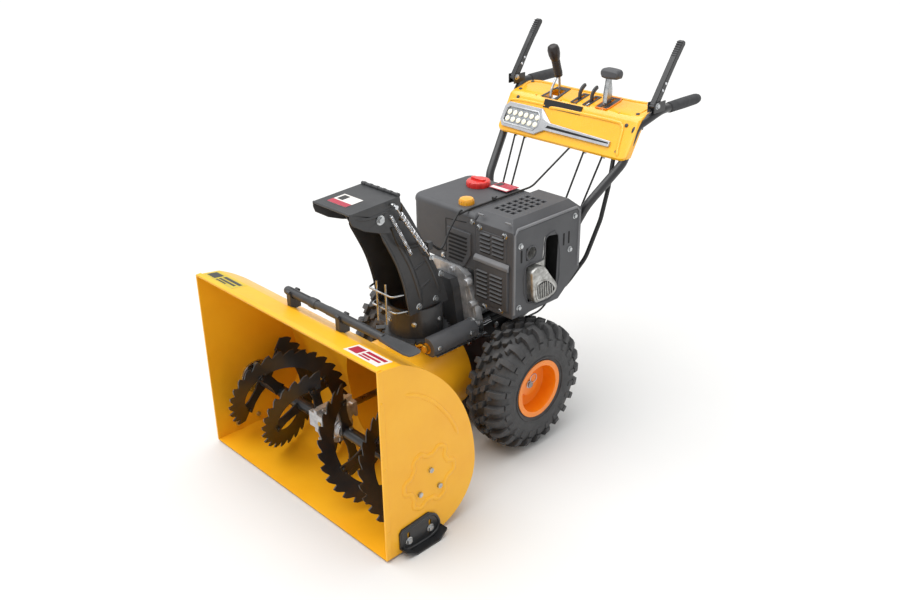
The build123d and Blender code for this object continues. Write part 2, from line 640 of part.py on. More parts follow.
with BuildPart() as hood_pivots:
    for side in (-1, 1):
        start = (side * (CHUTE_HALF + FREE), PIVOT_Y, PIVOT_Z)
        end = (side * (HOOD_HALF - SHEET), PIVOT_Y, PIVOT_Z)
        rod(start, end, 9)
        rod(start, end, PIVOT_RADIUS + FIT, Mode.SUBTRACT)
        face = side * HOOD_HALF
        rod((face, PIVOT_Y, PIVOT_Z), (face + side * 2, PIVOT_Y, PIVOT_Z), 13)
        hexagon((face + side * 2, PIVOT_Y, PIVOT_Z), (face + side * 8, PIVOT_Y, PIVOT_Z), 9)
        tip = side * (CHUTE_HALF - CHUTE_WALL - 2)
        rod((face, PIVOT_Y, PIVOT_Z), (tip, PIVOT_Y, PIVOT_Z), PIVOT_RADIUS)
    rod((HOOD_HALF, SPRING_TOP_Y, SPRING_TOP_Z), (SPRING_X - 7, SPRING_TOP_Y, SPRING_TOP_Z), 5)
finish(hood_pivots, "hood_pivots")

with BuildPart() as deflector_spring:
    rod((SPRING_X, SPRING_TOP_Y, SPRING_TOP_Z), (SPRING_X, FRONT + 430, PIVOT_Z - 142), 7)
finish(deflector_spring, "deflector_spring")

# ---------------------------------------------------------------- chassis
with BuildPart() as chassis_frame:
    outline = [
        (CHASSIS_FRONT, CHASSIS_BOTTOM),
        (CHASSIS_BACK, CHASSIS_BOTTOM + 30),
        (CHASSIS_BACK, CHASSIS_TOP),
        (CHASSIS_FRONT, CHASSIS_TOP),
    ]
    plate(across(-CHASSIS_HALF), outline, 2 * CHASSIS_HALF)
    low = (SHEET - CHASSIS_HALF, CHASSIS_FRONT + SHEET, CHASSIS_BOTTOM - 1)
    high = (CHASSIS_HALF - SHEET, CHASSIS_BACK - SHEET, CHASSIS_TOP - SHEET)
    block(low, high, Mode.SUBTRACT)
    reach = CHASSIS_HALF + 1
    rod((-reach, AXLE_Y, AXLE_Z), (reach, AXLE_Y, AXLE_Z), 18 + FIT, Mode.SUBTRACT)
    rod((-reach, HEX_Y, DRIVE_Z), (reach, HEX_Y, DRIVE_Z), 14 + FIT, Mode.SUBTRACT)
    wall = CHASSIS_FRONT + SHEET
    rod((0, CHASSIS_FRONT, IMPELLER_Z), (0, wall, IMPELLER_Z), 20 + FIT, Mode.SUBTRACT)
    rod((0, CHASSIS_FRONT, DRIVE_Z), (0, wall, DRIVE_Z), 14 + FIT, Mode.SUBTRACT)
    slot_back = DRIVE_SHEAVE_Y + SHEAVE + 1
    block((-60, AUGER_SHEAVE_Y - 4, CHASSIS_TOP - SHEET), (60, slot_back, CHASSIS_TOP), Mode.SUBTRACT)
finish(chassis_frame, "chassis_frame")

with BuildPart() as bottom_cover:
    outline = [
        (CHASSIS_FRONT, CHASSIS_BOTTOM - SHEET),
        (CHASSIS_FRONT, CHASSIS_BOTTOM),
        (CHASSIS_BACK, CHASSIS_BOTTOM + 30),
        (CHASSIS_BACK, CHASSIS_BOTTOM + 30 - SHEET),
    ]
    plate(across(-CHASSIS_HALF), outline, 2 * CHASSIS_HALF)
finish(bottom_cover, "bottom_cover")

with BuildPart() as shaft_bearings:
    wall = CHASSIS_FRONT + SHEET
    rod((0, wall, IMPELLER_Z), (0, wall + 5, IMPELLER_Z), 27)
    rod((0, DRUM_BACK - 10, IMPELLER_Z), (0, wall + 12, IMPELLER_Z), 20)
    bore = SHAFT_RADIUS + RUN
    rod((0, DRUM_BACK - 10, IMPELLER_Z), (0, wall + 12, IMPELLER_Z), bore, Mode.SUBTRACT)
    rod((0, wall, DRIVE_Z), (0, wall + 3, DRIVE_Z), 21)
    rod((0, CHASSIS_FRONT, DRIVE_Z), (0, wall + 11, DRIVE_Z), 14)
    rod((0, CHASSIS_FRONT + 2, DRIVE_Z), (0, wall + 11, DRIVE_Z), 8 + RUN, Mode.SUBTRACT)
    for side in (-1, 1):
        wall = side * CHASSIS_HALF
        rod((wall, AXLE_Y, AXLE_Z), (wall + side * 5, AXLE_Y, AXLE_Z), 32)
        start = (wall - side * 8, AXLE_Y, AXLE_Z)
        end = (wall + side * 14, AXLE_Y, AXLE_Z)
        rod(start, end, 18)
        rod(start, end, AXLE_RADIUS + RUN, Mode.SUBTRACT)
        rod((wall, HEX_Y, DRIVE_Z), (wall + side * 3, HEX_Y, DRIVE_Z), 22)
        start = (wall - side * 6, HEX_Y, DRIVE_Z)
        end = (wall + side * 6, HEX_Y, DRIVE_Z)
        rod(start, end, 14)
        rod(start, (wall + side * 3, HEX_Y, DRIVE_Z), 8 + RUN, Mode.SUBTRACT)
finish(shaft_bearings, "shaft_bearings")

# ---------------------------------------------------------------- friction drive
with BuildPart() as drive_disc:
    sheave(DRIVE_SHEAVE_Y, DRIVE_Z, DRIVE_SHEAVE_RADIUS, 8 + FIT)
    rod((0, CHASSIS_FRONT + 4, DRIVE_Z), (0, DISC_Y, DRIVE_Z), 8)
    rod((0, DISC_Y, DRIVE_Z), (0, DISC_Y + DISC, DRIVE_Z), DISC_RADIUS)
finish(drive_disc, "drive_disc")

with BuildPart() as hex_shaft:
    start = (SPROCKET_X, HEX_Y, DRIVE_Z)
    end = (SPROCKET_X + SPROCKET, HEX_Y, DRIVE_Z)
    rod(start, end, SMALL_SPROCKET)
    hexagon(start, end, (HEX_ACROSS + 2 * FIT) / sqrt(3), Mode.SUBTRACT)
    reach = CHASSIS_HALF - 7
    hexagon((-reach, HEX_Y, DRIVE_Z), (reach, HEX_Y, DRIVE_Z), HEX_ACROSS / sqrt(3))
    rod((-reach - 9, HEX_Y, DRIVE_Z), (reach + 9, HEX_Y, DRIVE_Z), 8)
finish(hex_shaft, "hex_shaft")

with BuildPart() as friction_wheel:
    rod((-10, HEX_Y, DRIVE_Z), (10, HEX_Y, DRIVE_Z), 20)
    rod((-5, HEX_Y, DRIVE_Z), (5, HEX_Y, DRIVE_Z), FRICTION_RADIUS)
    bore = (HEX_ACROSS + 2 * RUN) / sqrt(3)
    hexagon((-10, HEX_Y, DRIVE_Z), (10, HEX_Y, DRIVE_Z), bore, Mode.SUBTRACT)
finish(friction_wheel, "friction_wheel")

with BuildPart() as drive_chain:
    small = ((HEX_Y, DRIVE_Z), SMALL_SPROCKET)
    large = ((AXLE_Y, AXLE_Z), LARGE_SPROCKET)
    belt(across(SPROCKET_X + SPROCKET / 2), small, large, -FREE - 6, 6, 3)
finish(drive_chain, "drive_chain")

# ---------------------------------------------------------------- axle and wheels
with BuildPart() as drive_axle:
    start = (SPROCKET_X, AXLE_Y, AXLE_Z)
    end = (SPROCKET_X + SPROCKET, AXLE_Y, AXLE_Z)
    rod(start, end, LARGE_SPROCKET)
    rod(start, end, AXLE_RADIUS + FIT, Mode.SUBTRACT)
    reach = WHEEL_X + 28
    rod((-reach, AXLE_Y, AXLE_Z), (reach, AXLE_Y, AXLE_Z), AXLE_RADIUS)
    for side in (-1, 1):
        x = side * (WHEEL_X + 14)
        rod((x, AXLE_Y, AXLE_Z - 20), (x, AXLE_Y, AXLE_Z + 20), 3 + FIT, Mode.SUBTRACT)
        rod((x, AXLE_Y, AXLE_Z - 36), (x, AXLE_Y, AXLE_Z + 38), 3)
finish(drive_axle, "drive_axle")

half_tyre = TYRE_WIDTH / 2
half_rim = half_tyre - 4
bead = half_rim - 4


def ring_profile(side, points):
    """Solid ring turned about the axle from a half section given as (offset, radius)."""
    with BuildSketch(along(AXLE_Y)) as section:
        with BuildLine():
            Polyline(*[(side * (WHEEL_X + x), AXLE_Z + r) for x, r in points], close=True)
        make_face()
    revolve(section.sketch, axis=Axis((0, AXLE_Y, AXLE_Z), (1, 0, 0)))


with BuildPart() as wheel_rims:
    for side in (-1, 1):
        section = [
            (-half_rim, RIM_FLANGE),
            (-bead, RIM_FLANGE),
            (-bead, RIM_RADIUS),
            (bead, RIM_RADIUS),
            (bead, RIM_FLANGE),
            (half_rim, RIM_FLANGE),
            (half_rim, RIM_RADIUS - 4),
            (14, RIM_RADIUS - 6),
            (8, 40),
            (22, 34),
            (22, AXLE_RADIUS + FIT),
            (-30, AXLE_RADIUS + FIT),
            (-30, 17),
            (4, 17),
            (4, 40),
            (8, RIM_RADIUS - 6),
            (-half_rim, RIM_RADIUS - 4),
        ]
        ring_profile(side, section)
        x = side * (WHEEL_X + 14)
        rod((x, AXLE_Y, AXLE_Z - 40), (x, AXLE_Y, AXLE_Z + 40), 3 + FIT, Mode.SUBTRACT)
finish(wheel_rims, "wheel_rims")

with BuildPart() as tyres:
    for side in (-1, 1):
        outer = [
            (-bead, RIM_RADIUS),
            (-bead, RIM_FLANGE + 2),
            (-half_tyre, RIM_FLANGE + 20),
            (-half_tyre, WHEEL_RADIUS - 30),
            (-half_tyre + 12, WHEEL_RADIUS - 6),
            (-half_tyre + 30, WHEEL_RADIUS),
        ]
        inner = [
            (-bead + 10, RIM_RADIUS),
            (-bead + 10, RIM_FLANGE + 6),
            (-half_tyre + 10, RIM_FLANGE + 22),
            (-half_tyre + 10, WHEEL_RADIUS - 34),
            (-half_tyre + 26, WHEEL_RADIUS - 16),
        ]
        right_outer = [(-x, r) for x, r in reversed(outer)]
        right_inner = [(-x, r) for x, r in inner]
        ring_profile(side, outer + right_outer + right_inner + list(reversed(inner)))
finish(tyres, "tyres")

# ---------------------------------------------------------------- engine
with BuildPart() as engine_block:
    low = (CASE_RIGHT, ENGINE_FRONT, CHASSIS_TOP)
    block(low, (CASE_LEFT, FAN_Y, CASE_TOP))
    fillet(engine_block.edges().filter_by(Axis.Y), radius=14)
    rod((0, ENGINE_FRONT - 1, CRANK_Z), (0, ENGINE_FRONT, CRANK_Z), 40)
    rod((0, ENGINE_FRONT - 1, CRANK_Z), (0, FAN_Y, CRANK_Z), CRANK_RADIUS + RUN, Mode.SUBTRACT)
    low_y = ENGINE_FRONT + 48
    high_y = ENGINE_FRONT + 148
    for index in range(6):
        x = CASE_LEFT + 9 * index
        block((x, low_y - 12, ENGINE_Z + 30), (x + 3, high_y + 12, ENGINE_Z + 150))
    block((CASE_LEFT, low_y, ENGINE_Z + 42), (CASE_LEFT + 50, high_y, ENGINE_Z + 138))
    block((CASE_LEFT + 50, low_y - 6, ENGINE_Z + 36), (HEAD_LEFT, high_y + 6, ENGINE_Z + 144))
finish(engine_block, "engine_block")

with BuildPart() as crankshaft:
    for y in (AUGER_SHEAVE_Y, DRIVE_SHEAVE_Y):
        sheave(y, CRANK_Z, ENGINE_PULLEY, CRANK_RADIUS + FIT)
    start = (0, AUGER_SHEAVE_Y, CRANK_Z)
    end = (0, DRIVE_SHEAVE_Y + SHEAVE, CRANK_Z)
    rod(start, end, ENGINE_PULLEY - GROOVE)
    rod((0, FAN_Y + 6, CRANK_Z), (0, FAN_Y + 20, CRANK_Z), FAN_RADIUS - 8)
    shaft_front = (0, AUGER_SHEAVE_Y - 4, CRANK_Z)
    shaft_back = (0, FAN_Y + 24, CRANK_Z)
    rod(shaft_front, shaft_back, CRANK_RADIUS + FIT, Mode.SUBTRACT)
    rod(shaft_front, shaft_back, CRANK_RADIUS)
finish(crankshaft, "crankshaft")

with BuildPart() as drive_belts:
    upper = ((0, CRANK_Z), ENGINE_PULLEY)
    for y, z, radius in (
        (AUGER_SHEAVE_Y, IMPELLER_Z, IMPELLER_PULLEY),
        (DRIVE_SHEAVE_Y, DRIVE_Z, DRIVE_SHEAVE_RADIUS),
    ):
        belt(along(y + SHEAVE / 2), upper, ((0, z), radius), 1, 7, BELT_HALF)
finish(drive_belts, "drive_belts")

with BuildPart() as belt_cover:
    cover_front = AUGER_SHEAVE_Y - 8
    with BuildSketch(along(cover_front)) as hood_face:
        with BuildLine():
            Polyline(
                (-66, CHASSIS_TOP),
                (-66, ENGINE_Z + 66),
                (-44, CRANK_Z + 44),
                (34, CRANK_Z + 44),
                (46, CRANK_Z + 20),
                (66, CHASSIS_TOP),
                close=True,
            )
        make_face()
    extrude(amount=-(ENGINE_FRONT - cover_front - 1))
    with BuildSketch(along(cover_front + SHEET)):
        add(hood_face.sketch)
        offset(amount=-SHEET)
        with Locations((0, CHASSIS_TOP)):
            Rectangle(124, 12)
    extrude(amount=-(ENGINE_FRONT - cover_front), mode=Mode.SUBTRACT)
finish(belt_cover, "belt_cover")

with BuildPart() as recoil_starter:
    fan_back = FAN_Y + FAN_DEPTH
    recoil_back = fan_back + RECOIL_DEPTH
    rod((0, FAN_Y, CRANK_Z), (0, fan_back, CRANK_Z), FAN_RADIUS)
    rod((0, fan_back, CRANK_Z), (0, recoil_back, CRANK_Z), RECOIL_RADIUS)
    rod((0, FAN_Y, CRANK_Z), (0, fan_back - 3, CRANK_Z), FAN_RADIUS - SHEET, Mode.SUBTRACT)
    rod((0, FAN_Y, CRANK_Z), (0, recoil_back - 4, CRANK_Z), RECOIL_RADIUS - 4, Mode.SUBTRACT)
    rod((0, recoil_back - 4, CRANK_Z + 40), (0, recoil_back, CRANK_Z + 40), 6 + RUN, Mode.SUBTRACT)
finish(recoil_starter, "recoil_starter")

with BuildPart() as recoil_handle:
    rod((0, recoil_back - 8, CRANK_Z + 40), (0, recoil_back + 10, CRANK_Z + 40), 6)
    rod((-26, recoil_back + 16, CRANK_Z + 40), (26, recoil_back + 16, CRANK_Z + 40), 9)
finish(recoil_handle, "recoil_handle")

# ---------------------------------------------------------------- engine covers
with BuildPart() as engine_shroud:
    low = (SHROUD_RIGHT, SHROUD_FRONT, SHROUD_BOTTOM)
    block(low, (SHROUD_LEFT, SHROUD_BACK, SHROUD_TOP))
    uprights = engine_shroud.edges().filter_by(Axis.Z).sort_by(Axis.X)[:2]
    fillet(uprights, radius=34)
    fillet(engine_shroud.edges().group_by(Axis.Z)[-1], radius=16)
    low = (SHROUD_RIGHT + SHEET, SHROUD_FRONT + SHEET, SHROUD_BOTTOM - 1)
    high = (SHROUD_LEFT - SHEET, SHROUD_BACK - SHEET, SHROUD_TOP - 20)
    block(low, high, Mode.SUBTRACT)
    cylinder_low = (SHROUD_LEFT - SHEET, ENGINE_FRONT + 30, SHROUD_BOTTOM - 1)
    block(cylinder_low, (SHROUD_LEFT, ENGINE_FRONT + 166, SHROUD_BOTTOM + 1), Mode.SUBTRACT)
    rod((0, SHROUD_BACK - 5, CRANK_Z), (0, SHROUD_BACK + 5, CRANK_Z), FAN_RADIUS + 2, Mode.SUBTRACT)
    for spot, radius in ((FUEL_CAP, 22), (OIL_CAP, 14)):
        neck_low = (spot[0], spot[1], SHROUD_TOP - 22)
        rod(neck_low, (spot[0], spot[1], SHROUD_TOP + 6), radius)
        rod(neck_low, (spot[0], spot[1], SHROUD_TOP + 6), radius - 4, Mode.SUBTRACT)
finish(engine_shroud, "engine_shroud")


def screw_cap(spot, neck, outer, height):
    """Ribbed cap that turns on a filler neck."""
    low = (spot[0], spot[1], SHROUD_TOP + FREE)
    top = (spot[0], spot[1], SHROUD_TOP + height)
    rod(low, top, outer)
    with BuildSketch(level(SHROUD_TOP + 3)) as ribs:
        with Locations(spot):
            with PolarLocations(outer, 12):
                Circle(outer * 0.13)
    extrude(ribs.sketch, amount=height - 6)
    rod(low, (spot[0], spot[1], SHROUD_TOP + 6 + FREE), neck + RUN, Mode.SUBTRACT)
    rod((spot[0], spot[1], SHROUD_TOP - 4), (spot[0], spot[1], SHROUD_TOP + 9), neck - 4 - RUN)


with BuildPart() as fuel_cap:
    screw_cap(FUEL_CAP, 22, 32, 24)
finish(fuel_cap, "fuel_cap")

with BuildPart() as oil_cap:
    screw_cap(OIL_CAP, 14, 20, 18)
finish(oil_cap, "oil_cap")

with BuildPart() as muffler_cover:
    outline = [
        (SHROUD_FRONT, COVER_BOTTOM),
        (SHROUD_FRONT, COVER_TOP),
        (COVER_BACK, COVER_TOP),
        (COVER_BACK, COVER_BOTTOM + 70),
        (COVER_BACK - 90, COVER_BOTTOM),
    ]
    plate(across(SHROUD_LEFT), outline, COVER_LEFT - SHROUD_LEFT)
    top = muffler_cover.faces().sort_by(Axis.Z)[-1]
    rims = top.edges().filter_by_position(Axis.X, SHROUD_LEFT + 1, COVER_LEFT)
    chamfer(rims, length=COVER_CHAMFER)
    low = (SHROUD_LEFT, SHROUD_FRONT + SHEET, COVER_BOTTOM - 1)
    high = (COVER_LEFT - SHEET, COVER_BACK - SHEET, COVER_TOP - COVER_CHAMFER)
    block(low, high, Mode.SUBTRACT)
    with BuildSketch(across(COVER_LEFT - SHEET)):
        with BuildLine():
            Polyline(
                (SHROUD_FRONT + 55, ENGINE_Z + 190),
                (SHROUD_FRONT + 122, ENGINE_Z + 190),
                (SHROUD_FRONT + 128, ENGINE_Z + 259),
                (SHROUD_FRONT + 188, ENGINE_Z + 250),
                (SHROUD_FRONT + 182, ENGINE_Z + 74),
                (SHROUD_FRONT + 65, ENGINE_Z + 82),
                close=True,
            )
        make_face()
        with Locations((SHROUD_FRONT + 75, ENGINE_Z + 227)):
            Circle(17)
    extrude(amount=SHEET, mode=Mode.SUBTRACT)
    with BuildSketch(level(COVER_TOP - COVER_CHAMFER)):
        with Locations((SHROUD_LEFT + 50, SHROUD_FRONT + 128)):
            with GridLocations(20, 25, 4, 6):
                Rectangle(12, 15)
    extrude(amount=COVER_CHAMFER, mode=Mode.SUBTRACT)
finish(muffler_cover, "muffler_cover")

with BuildPart() as muffler:
    low = (HEAD_LEFT, ENGINE_FRONT + 48, ENGINE_Z + 96)
    block(low, (HEAD_LEFT + 76, ENGINE_FRONT + 168, ENGINE_Z + 250))
    fillet(muffler.edges().filter_by(Axis.Z), radius=24)
    outline = [
        (SHROUD_FRONT + 59, ENGINE_Z + 174),
        (SHROUD_FRONT + 104, ENGINE_Z + 179),
        (SHROUD_FRONT + 160, ENGINE_Z + 100),
        (SHROUD_FRONT + 74, ENGINE_Z + 92),
    ]
    plate(across(HEAD_LEFT + 76), outline, 38)
finish(muffler, "muffler")

# ---------------------------------------------------------------- handles
tube_foot = CHASSIS_HALF + TUBE_RADIUS
GRIP_END = BACK - 2


def handle_route(side):
    """Centre line of one handle tube, from the chassis up to the end of its grip."""
    return [
        (side * tube_foot, CHASSIS_FRONT + 155, CHASSIS_TOP - 36),
        (side * tube_foot, CHASSIS_BACK + 50, ENGINE_Z),
        (side * 150, CHASSIS_BACK + 132, ENGINE_Z + 170),
        (side * 196, CHASSIS_BACK + 156, ENGINE_Z + 280),
        (side * 236, BACK - 312, GRIP_Z - 140),
        (side * 240, BACK - 262, GRIP_Z - 42),
        (side * GRIP_X, BACK - 190, GRIP_Z),
        (side * GRIP_X, GRIP_END, GRIP_Z),
    ]


handle_bends = [70, 90, 90, 80, 45, 50]


def handle_solid(side, outer, inner=0.0, mode=Mode.ADD):
    """One handle tube, or the space it takes."""
    tube(handle_route(side), handle_bends, outer, inner, mode)


with BuildPart() as handle_tubes:
    for side in (-1, 1):
        handle_solid(side, TUBE_RADIUS, TUBE_RADIUS - TUBE_WALL)
finish(handle_tubes, "handle_tubes")

with BuildPart() as hand_grips:
    for side in (-1, 1):
        root = (side * GRIP_X, BACK - GRIP_LENGTH, GRIP_Z)
        rod(root, (side * GRIP_X, BACK, GRIP_Z), GRIP_RADIUS)
        rod(root, (side * GRIP_X, GRIP_END, GRIP_Z), TUBE_RADIUS, Mode.SUBTRACT)
finish(hand_grips, "hand_grips")

# ---------------------------------------------------------------- console
face_length = hypot(FACE_RUN, FACE_RISE)
face_plane = Plane(
    origin=(0, FACE_Y, FACE_Z), x_dir=(1, 0, 0), z_dir=(0, -FACE_RISE, FACE_RUN)
)
DECK_Y = FACE_Y + FACE_RUN
DECK_Z = FACE_Z + FACE_RISE
CHUTE_LEVER_X = -97.0
GEAR_LEVER_X = 104.0
FINGER_XS = (0.0, 46.0)
with BuildPart() as console:
    outline = [
        (FACE_Y, FACE_Z),
        (DECK_Y, DECK_Z),
        (DECK_Y + DECK_DEPTH, DECK_Z + DECK_RISE),
        (DECK_Y + DECK_DEPTH - 8, DECK_Z - 16),
        (FACE_Y + 34, FACE_Z - 8),
    ]
    plate(across(-CONSOLE_HALF), outline, 2 * CONSOLE_HALF)
    hollow = [
        (FACE_Y + 4, FACE_Z - 1),
        (DECK_Y + 1, DECK_Z - 4),
        (DECK_Y + DECK_DEPTH - 3, DECK_Z + DECK_RISE - 4),
        (DECK_Y + DECK_DEPTH + 20, DECK_Z - 30),
        (FACE_Y + 34, FACE_Z - 40),
        (FACE_Y + 4, FACE_Z - 40),
    ]
    inner_half = CONSOLE_HALF - CONSOLE_WALL
    plate(across(-inner_half), hollow, 2 * inner_half, Mode.SUBTRACT)
    for side in (-1, 1):
        handle_solid(side, TUBE_RADIUS + 2, mode=Mode.SUBTRACT)
    deck_top = DECK_Z + DECK_RISE + 5
    for x, half, start, end in (
        (CHUTE_LEVER_X, 23, 4, 62),
        (FINGER_XS[0], 7, 6, 62),
        (FINGER_XS[1], 7, 6, 62),
        (GEAR_LEVER_X, 6, 4, 74),
    ):
        low = (x - half, DECK_Y + start, DECK_Z - 8)
        block(low, (x + half, DECK_Y + end, deck_top), Mode.SUBTRACT)
finish(console, "console")

bezel_low = [(-246, 30), (-232, 12), (-96, 8), (-62, 28), (184, 26)]
bezel_high = [(184, 44), (-48, 54), (-96, 92), (-232, 92), (-246, 76)]
bezel = bezel_low + bezel_high
lens_low = [(-234, 32), (-224, 22), (-104, 20), (-92, 34)]
lens_high = [(-92, 62), (-106, 78), (-224, 78), (-234, 68)]
lens = lens_low + lens_high
with BuildPart() as headlight_bezel:
    plate(face_plane, bezel, 7)
    plate(face_plane, lens, 7, Mode.SUBTRACT)
finish(headlight_bezel, "headlight_bezel")

with BuildPart() as headlight_lens:
    plate(face_plane, lens, 5)
finish(headlight_lens, "headlight_lens")

# ---------------------------------------------------------------- levers
PIVOT_DEPTH = 22.0  # lever pivots below the deck
lever_y = DECK_Y + 34
lever_z = DECK_Z - PIVOT_DEPTH
brace_y = CHASSIS_BACK + 132
brace_z = ENGINE_Z + 170
with BuildPart() as lever_frame:
    rod((-150, brace_y, brace_z), (150, brace_y, brace_z), 8)
    frame_z = lever_z - 20
    block((-232, lever_y - 10, frame_z - 4), (232, lever_y + 10, frame_z))
    for x in (*FINGER_XS, GEAR_LEVER_X):
        for side in (-1, 1):
            low = (x + side * 6.5 - 1.5, lever_y - 9, frame_z)
            block(low, (x + side * 6.5 + 1.5, lever_y + 9, lever_z + 9))
        rod((x - 8, lever_y, lever_z), (x + 8, lever_y, lever_z), 3.5)
    ear_x = CHUTE_LEVER_X
    for y in (lever_y - 34, lever_y + 30):
        block((ear_x - 9, y, frame_z), (ear_x + 9, y + 4, lever_z + 9))
        rod((ear_x, y, lever_z), (ear_x, y + 4, lever_z), 5 + RUN, Mode.SUBTRACT)
    block((ear_x - 9, lever_y - 34, frame_z - 4), (ear_x + 9, lever_y + 34, frame_z))
    for side in (-1, 1):
        handle_solid(side, TUBE_RADIUS, mode=Mode.SUBTRACT)
finish(lever_frame, "lever_frame")

with BuildPart() as chute_lever:
    rod((CHUTE_LEVER_X, lever_y - 36, lever_z), (CHUTE_LEVER_X, lever_y + 36, lever_z), 5)
    grip_low = (CHUTE_LEVER_X, DECK_Y + 48, DECK_Z + 59)
    grip_high = (CHUTE_LEVER_X, DECK_Y + 13, DECK_Z + 158)
    rod((CHUTE_LEVER_X, lever_y - 22, lever_z), (CHUTE_LEVER_X - 3, DECK_Y + 46, DECK_Z + 64), 4)
    rod((CHUTE_LEVER_X, lever_y + 22, lever_z), (CHUTE_LEVER_X + 3, DECK_Y + 48, DECK_Z + 64), 4)
    rod(grip_low, grip_high, 13)
    lean = Vector(*grip_high) - Vector(*grip_low)
    rod(Vector(*grip_low) + lean * 0.55, Vector(*grip_high) + lean * 0.02, 19)
finish(chute_lever, "chute_lever")

with BuildPart() as gear_lever:
    rod((GEAR_LEVER_X - 4.5, lever_y, lever_z), (GEAR_LEVER_X + 4.5, lever_y, lever_z), 9)
    arm = [
        (lever_y - 8, lever_z),
        (lever_y - 10, DECK_Z + 94),
        (lever_y + 12, DECK_Z + 94),
        (lever_y + 8, lever_z),
    ]
    plate(across(GEAR_LEVER_X - 3), arm, 6)
    knob_low = (GEAR_LEVER_X - 22, lever_y - 19, DECK_Z + 84)
    block(knob_low, (GEAR_LEVER_X + 44, lever_y + 21, DECK_Z + 118))
    start = (GEAR_LEVER_X - 4.5, lever_y, lever_z)
    rod(start, (GEAR_LEVER_X + 4.5, lever_y, lever_z), 3.5 + RUN, Mode.SUBTRACT)
finish(gear_lever, "gear_lever")

for name, x in (("deflector_lever", FINGER_XS[0]), ("throttle_lever", FINGER_XS[1])):
    with BuildPart() as finger_lever:
        rod((x - 4.5, lever_y, lever_z), (x + 4.5, lever_y, lever_z), 9)
        curve = [
            (lever_y - 6, lever_z),
            (lever_y - 8, DECK_Z + 24),
            (lever_y + 2, DECK_Z + 40),
            (lever_y + 28, DECK_Z + 50),
            (lever_y + 26, DECK_Z + 40),
            (lever_y + 12, DECK_Z + 30),
            (lever_y + 6, DECK_Z + 14),
            (lever_y + 6, lever_z),
        ]
        plate(across(x - 4), curve, 8)
        rod((x - 4.5, lever_y, lever_z), (x + 4.5, lever_y, lever_z), 3.5 + RUN, Mode.SUBTRACT)
    finish(finger_lever, name)

CLUTCH_HALF = 9.0
with BuildPart() as clutch_brackets:
    for side in (-1, 1):
        inner = CLUTCH_HALF + FREE
        reach = inner + SHEET
        for low_x, high_x in ((-reach, -inner), (inner, reach)):
            low = (side * GRIP_X + low_x, LEVER_Y - 12, GRIP_Z)
            block(low, (side * GRIP_X + high_x, LEVER_Y + 40, LEVER_Z + 10))
        start = (side * GRIP_X - reach, LEVER_Y, LEVER_Z)
        rod(start, (side * GRIP_X + reach, LEVER_Y, LEVER_Z), 4)
    for side in (-1, 1):
        handle_solid(side, TUBE_RADIUS, mode=Mode.SUBTRACT)
finish(clutch_brackets, "clutch_brackets")

CLUTCH_RISE = 157.0
CLUTCH_RUN = 114.0
for name, side in (("clutch_lever_left", 1), ("clutch_lever_right", -1)):
    with BuildPart() as clutch_lever:
        x = side * GRIP_X
        rod((x - CLUTCH_HALF, LEVER_Y, LEVER_Z), (x + CLUTCH_HALF, LEVER_Y, LEVER_Z), 10)
        slope = Vector(0, CLUTCH_RUN, CLUTCH_RISE).normalized()
        swing_plane = Plane(origin=(x - CLUTCH_HALF, LEVER_Y, LEVER_Z), x_dir=slope, z_dir=(1, 0, 0))
        reach = hypot(CLUTCH_RUN, CLUTCH_RISE)
        arm = [(0, -9), (reach, -12), (reach + 8, 0), (reach, 12), (0, 9)]
        plate(swing_plane, arm, 2 * CLUTCH_HALF)
        start = (x - CLUTCH_HALF, LEVER_Y, LEVER_Z)
        rod(start, (x + CLUTCH_HALF, LEVER_Y, LEVER_Z), 4 + RUN, Mode.SUBTRACT)
    finish(clutch_lever, name)

# ---------------------------------------------------------------- flexible shaft and control cables
FLEX_RADIUS = 6.5
shaft_tail = CHUTE_Y + 153
flex_points = [
    (200, BACK - 306, GRIP_Z - 115),
    (212, BACK - 341, GRIP_Z - 210),
    (216, CHASSIS_BACK + 200, ENGINE_Z + 230),
    (206, CHASSIS_BACK + 150, ENGINE_Z + 120),
    (180, CHASSIS_BACK + 85, ENGINE_Z + 36),
    (146, CHASSIS_BACK - 14, ENGINE_Z + 2),
    (WORM_X + 4, CHASSIS_BACK - 120, WORM_Z + 3),
    (WORM_X, shaft_tail, WORM_Z),
]
with BuildPart() as chute_flex_shaft:
    tube(flex_points, [120, 140, 120, 120, 140, 160], FLEX_RADIUS)
finish(chute_flex_shaft, "chute_flex_shaft")

# Each control cable: its place across at the console and at the chassis, and its drop below its top.
cable_radius = 3.0
cable_spread = [(-190, -84, 40), (-150, -60, 56), (90, 64, 36), (160, 90, 52)]
with BuildPart() as control_cables:
    for top_x, low_x, drop in cable_spread:
        end_z = CHASSIS_TOP - drop
        points = [
            (top_x, BACK - 300, FACE_Z + 6),
            (top_x * 0.9, CHASSIS_BACK + 190, ENGINE_Z + 240),
            (low_x, CHASSIS_BACK + 112, end_z),
            (low_x, CHASSIS_BACK, end_z),
        ]
        tube(points, [140, 60], cable_radius)
    run_z = SHROUD_TOP + cable_radius + 1.5
    points = [
        (60, SHROUD_FRONT - 30, SHROUD_TOP - 1),
        (60, SHROUD_FRONT + 20, run_z),
        (60, SHROUD_BACK + 20, run_z),
        (40, BACK - 292, FACE_Z + 4),
    ]
    tube(points, [40, 90], cable_radius)
finish(control_cables, "control_cables")

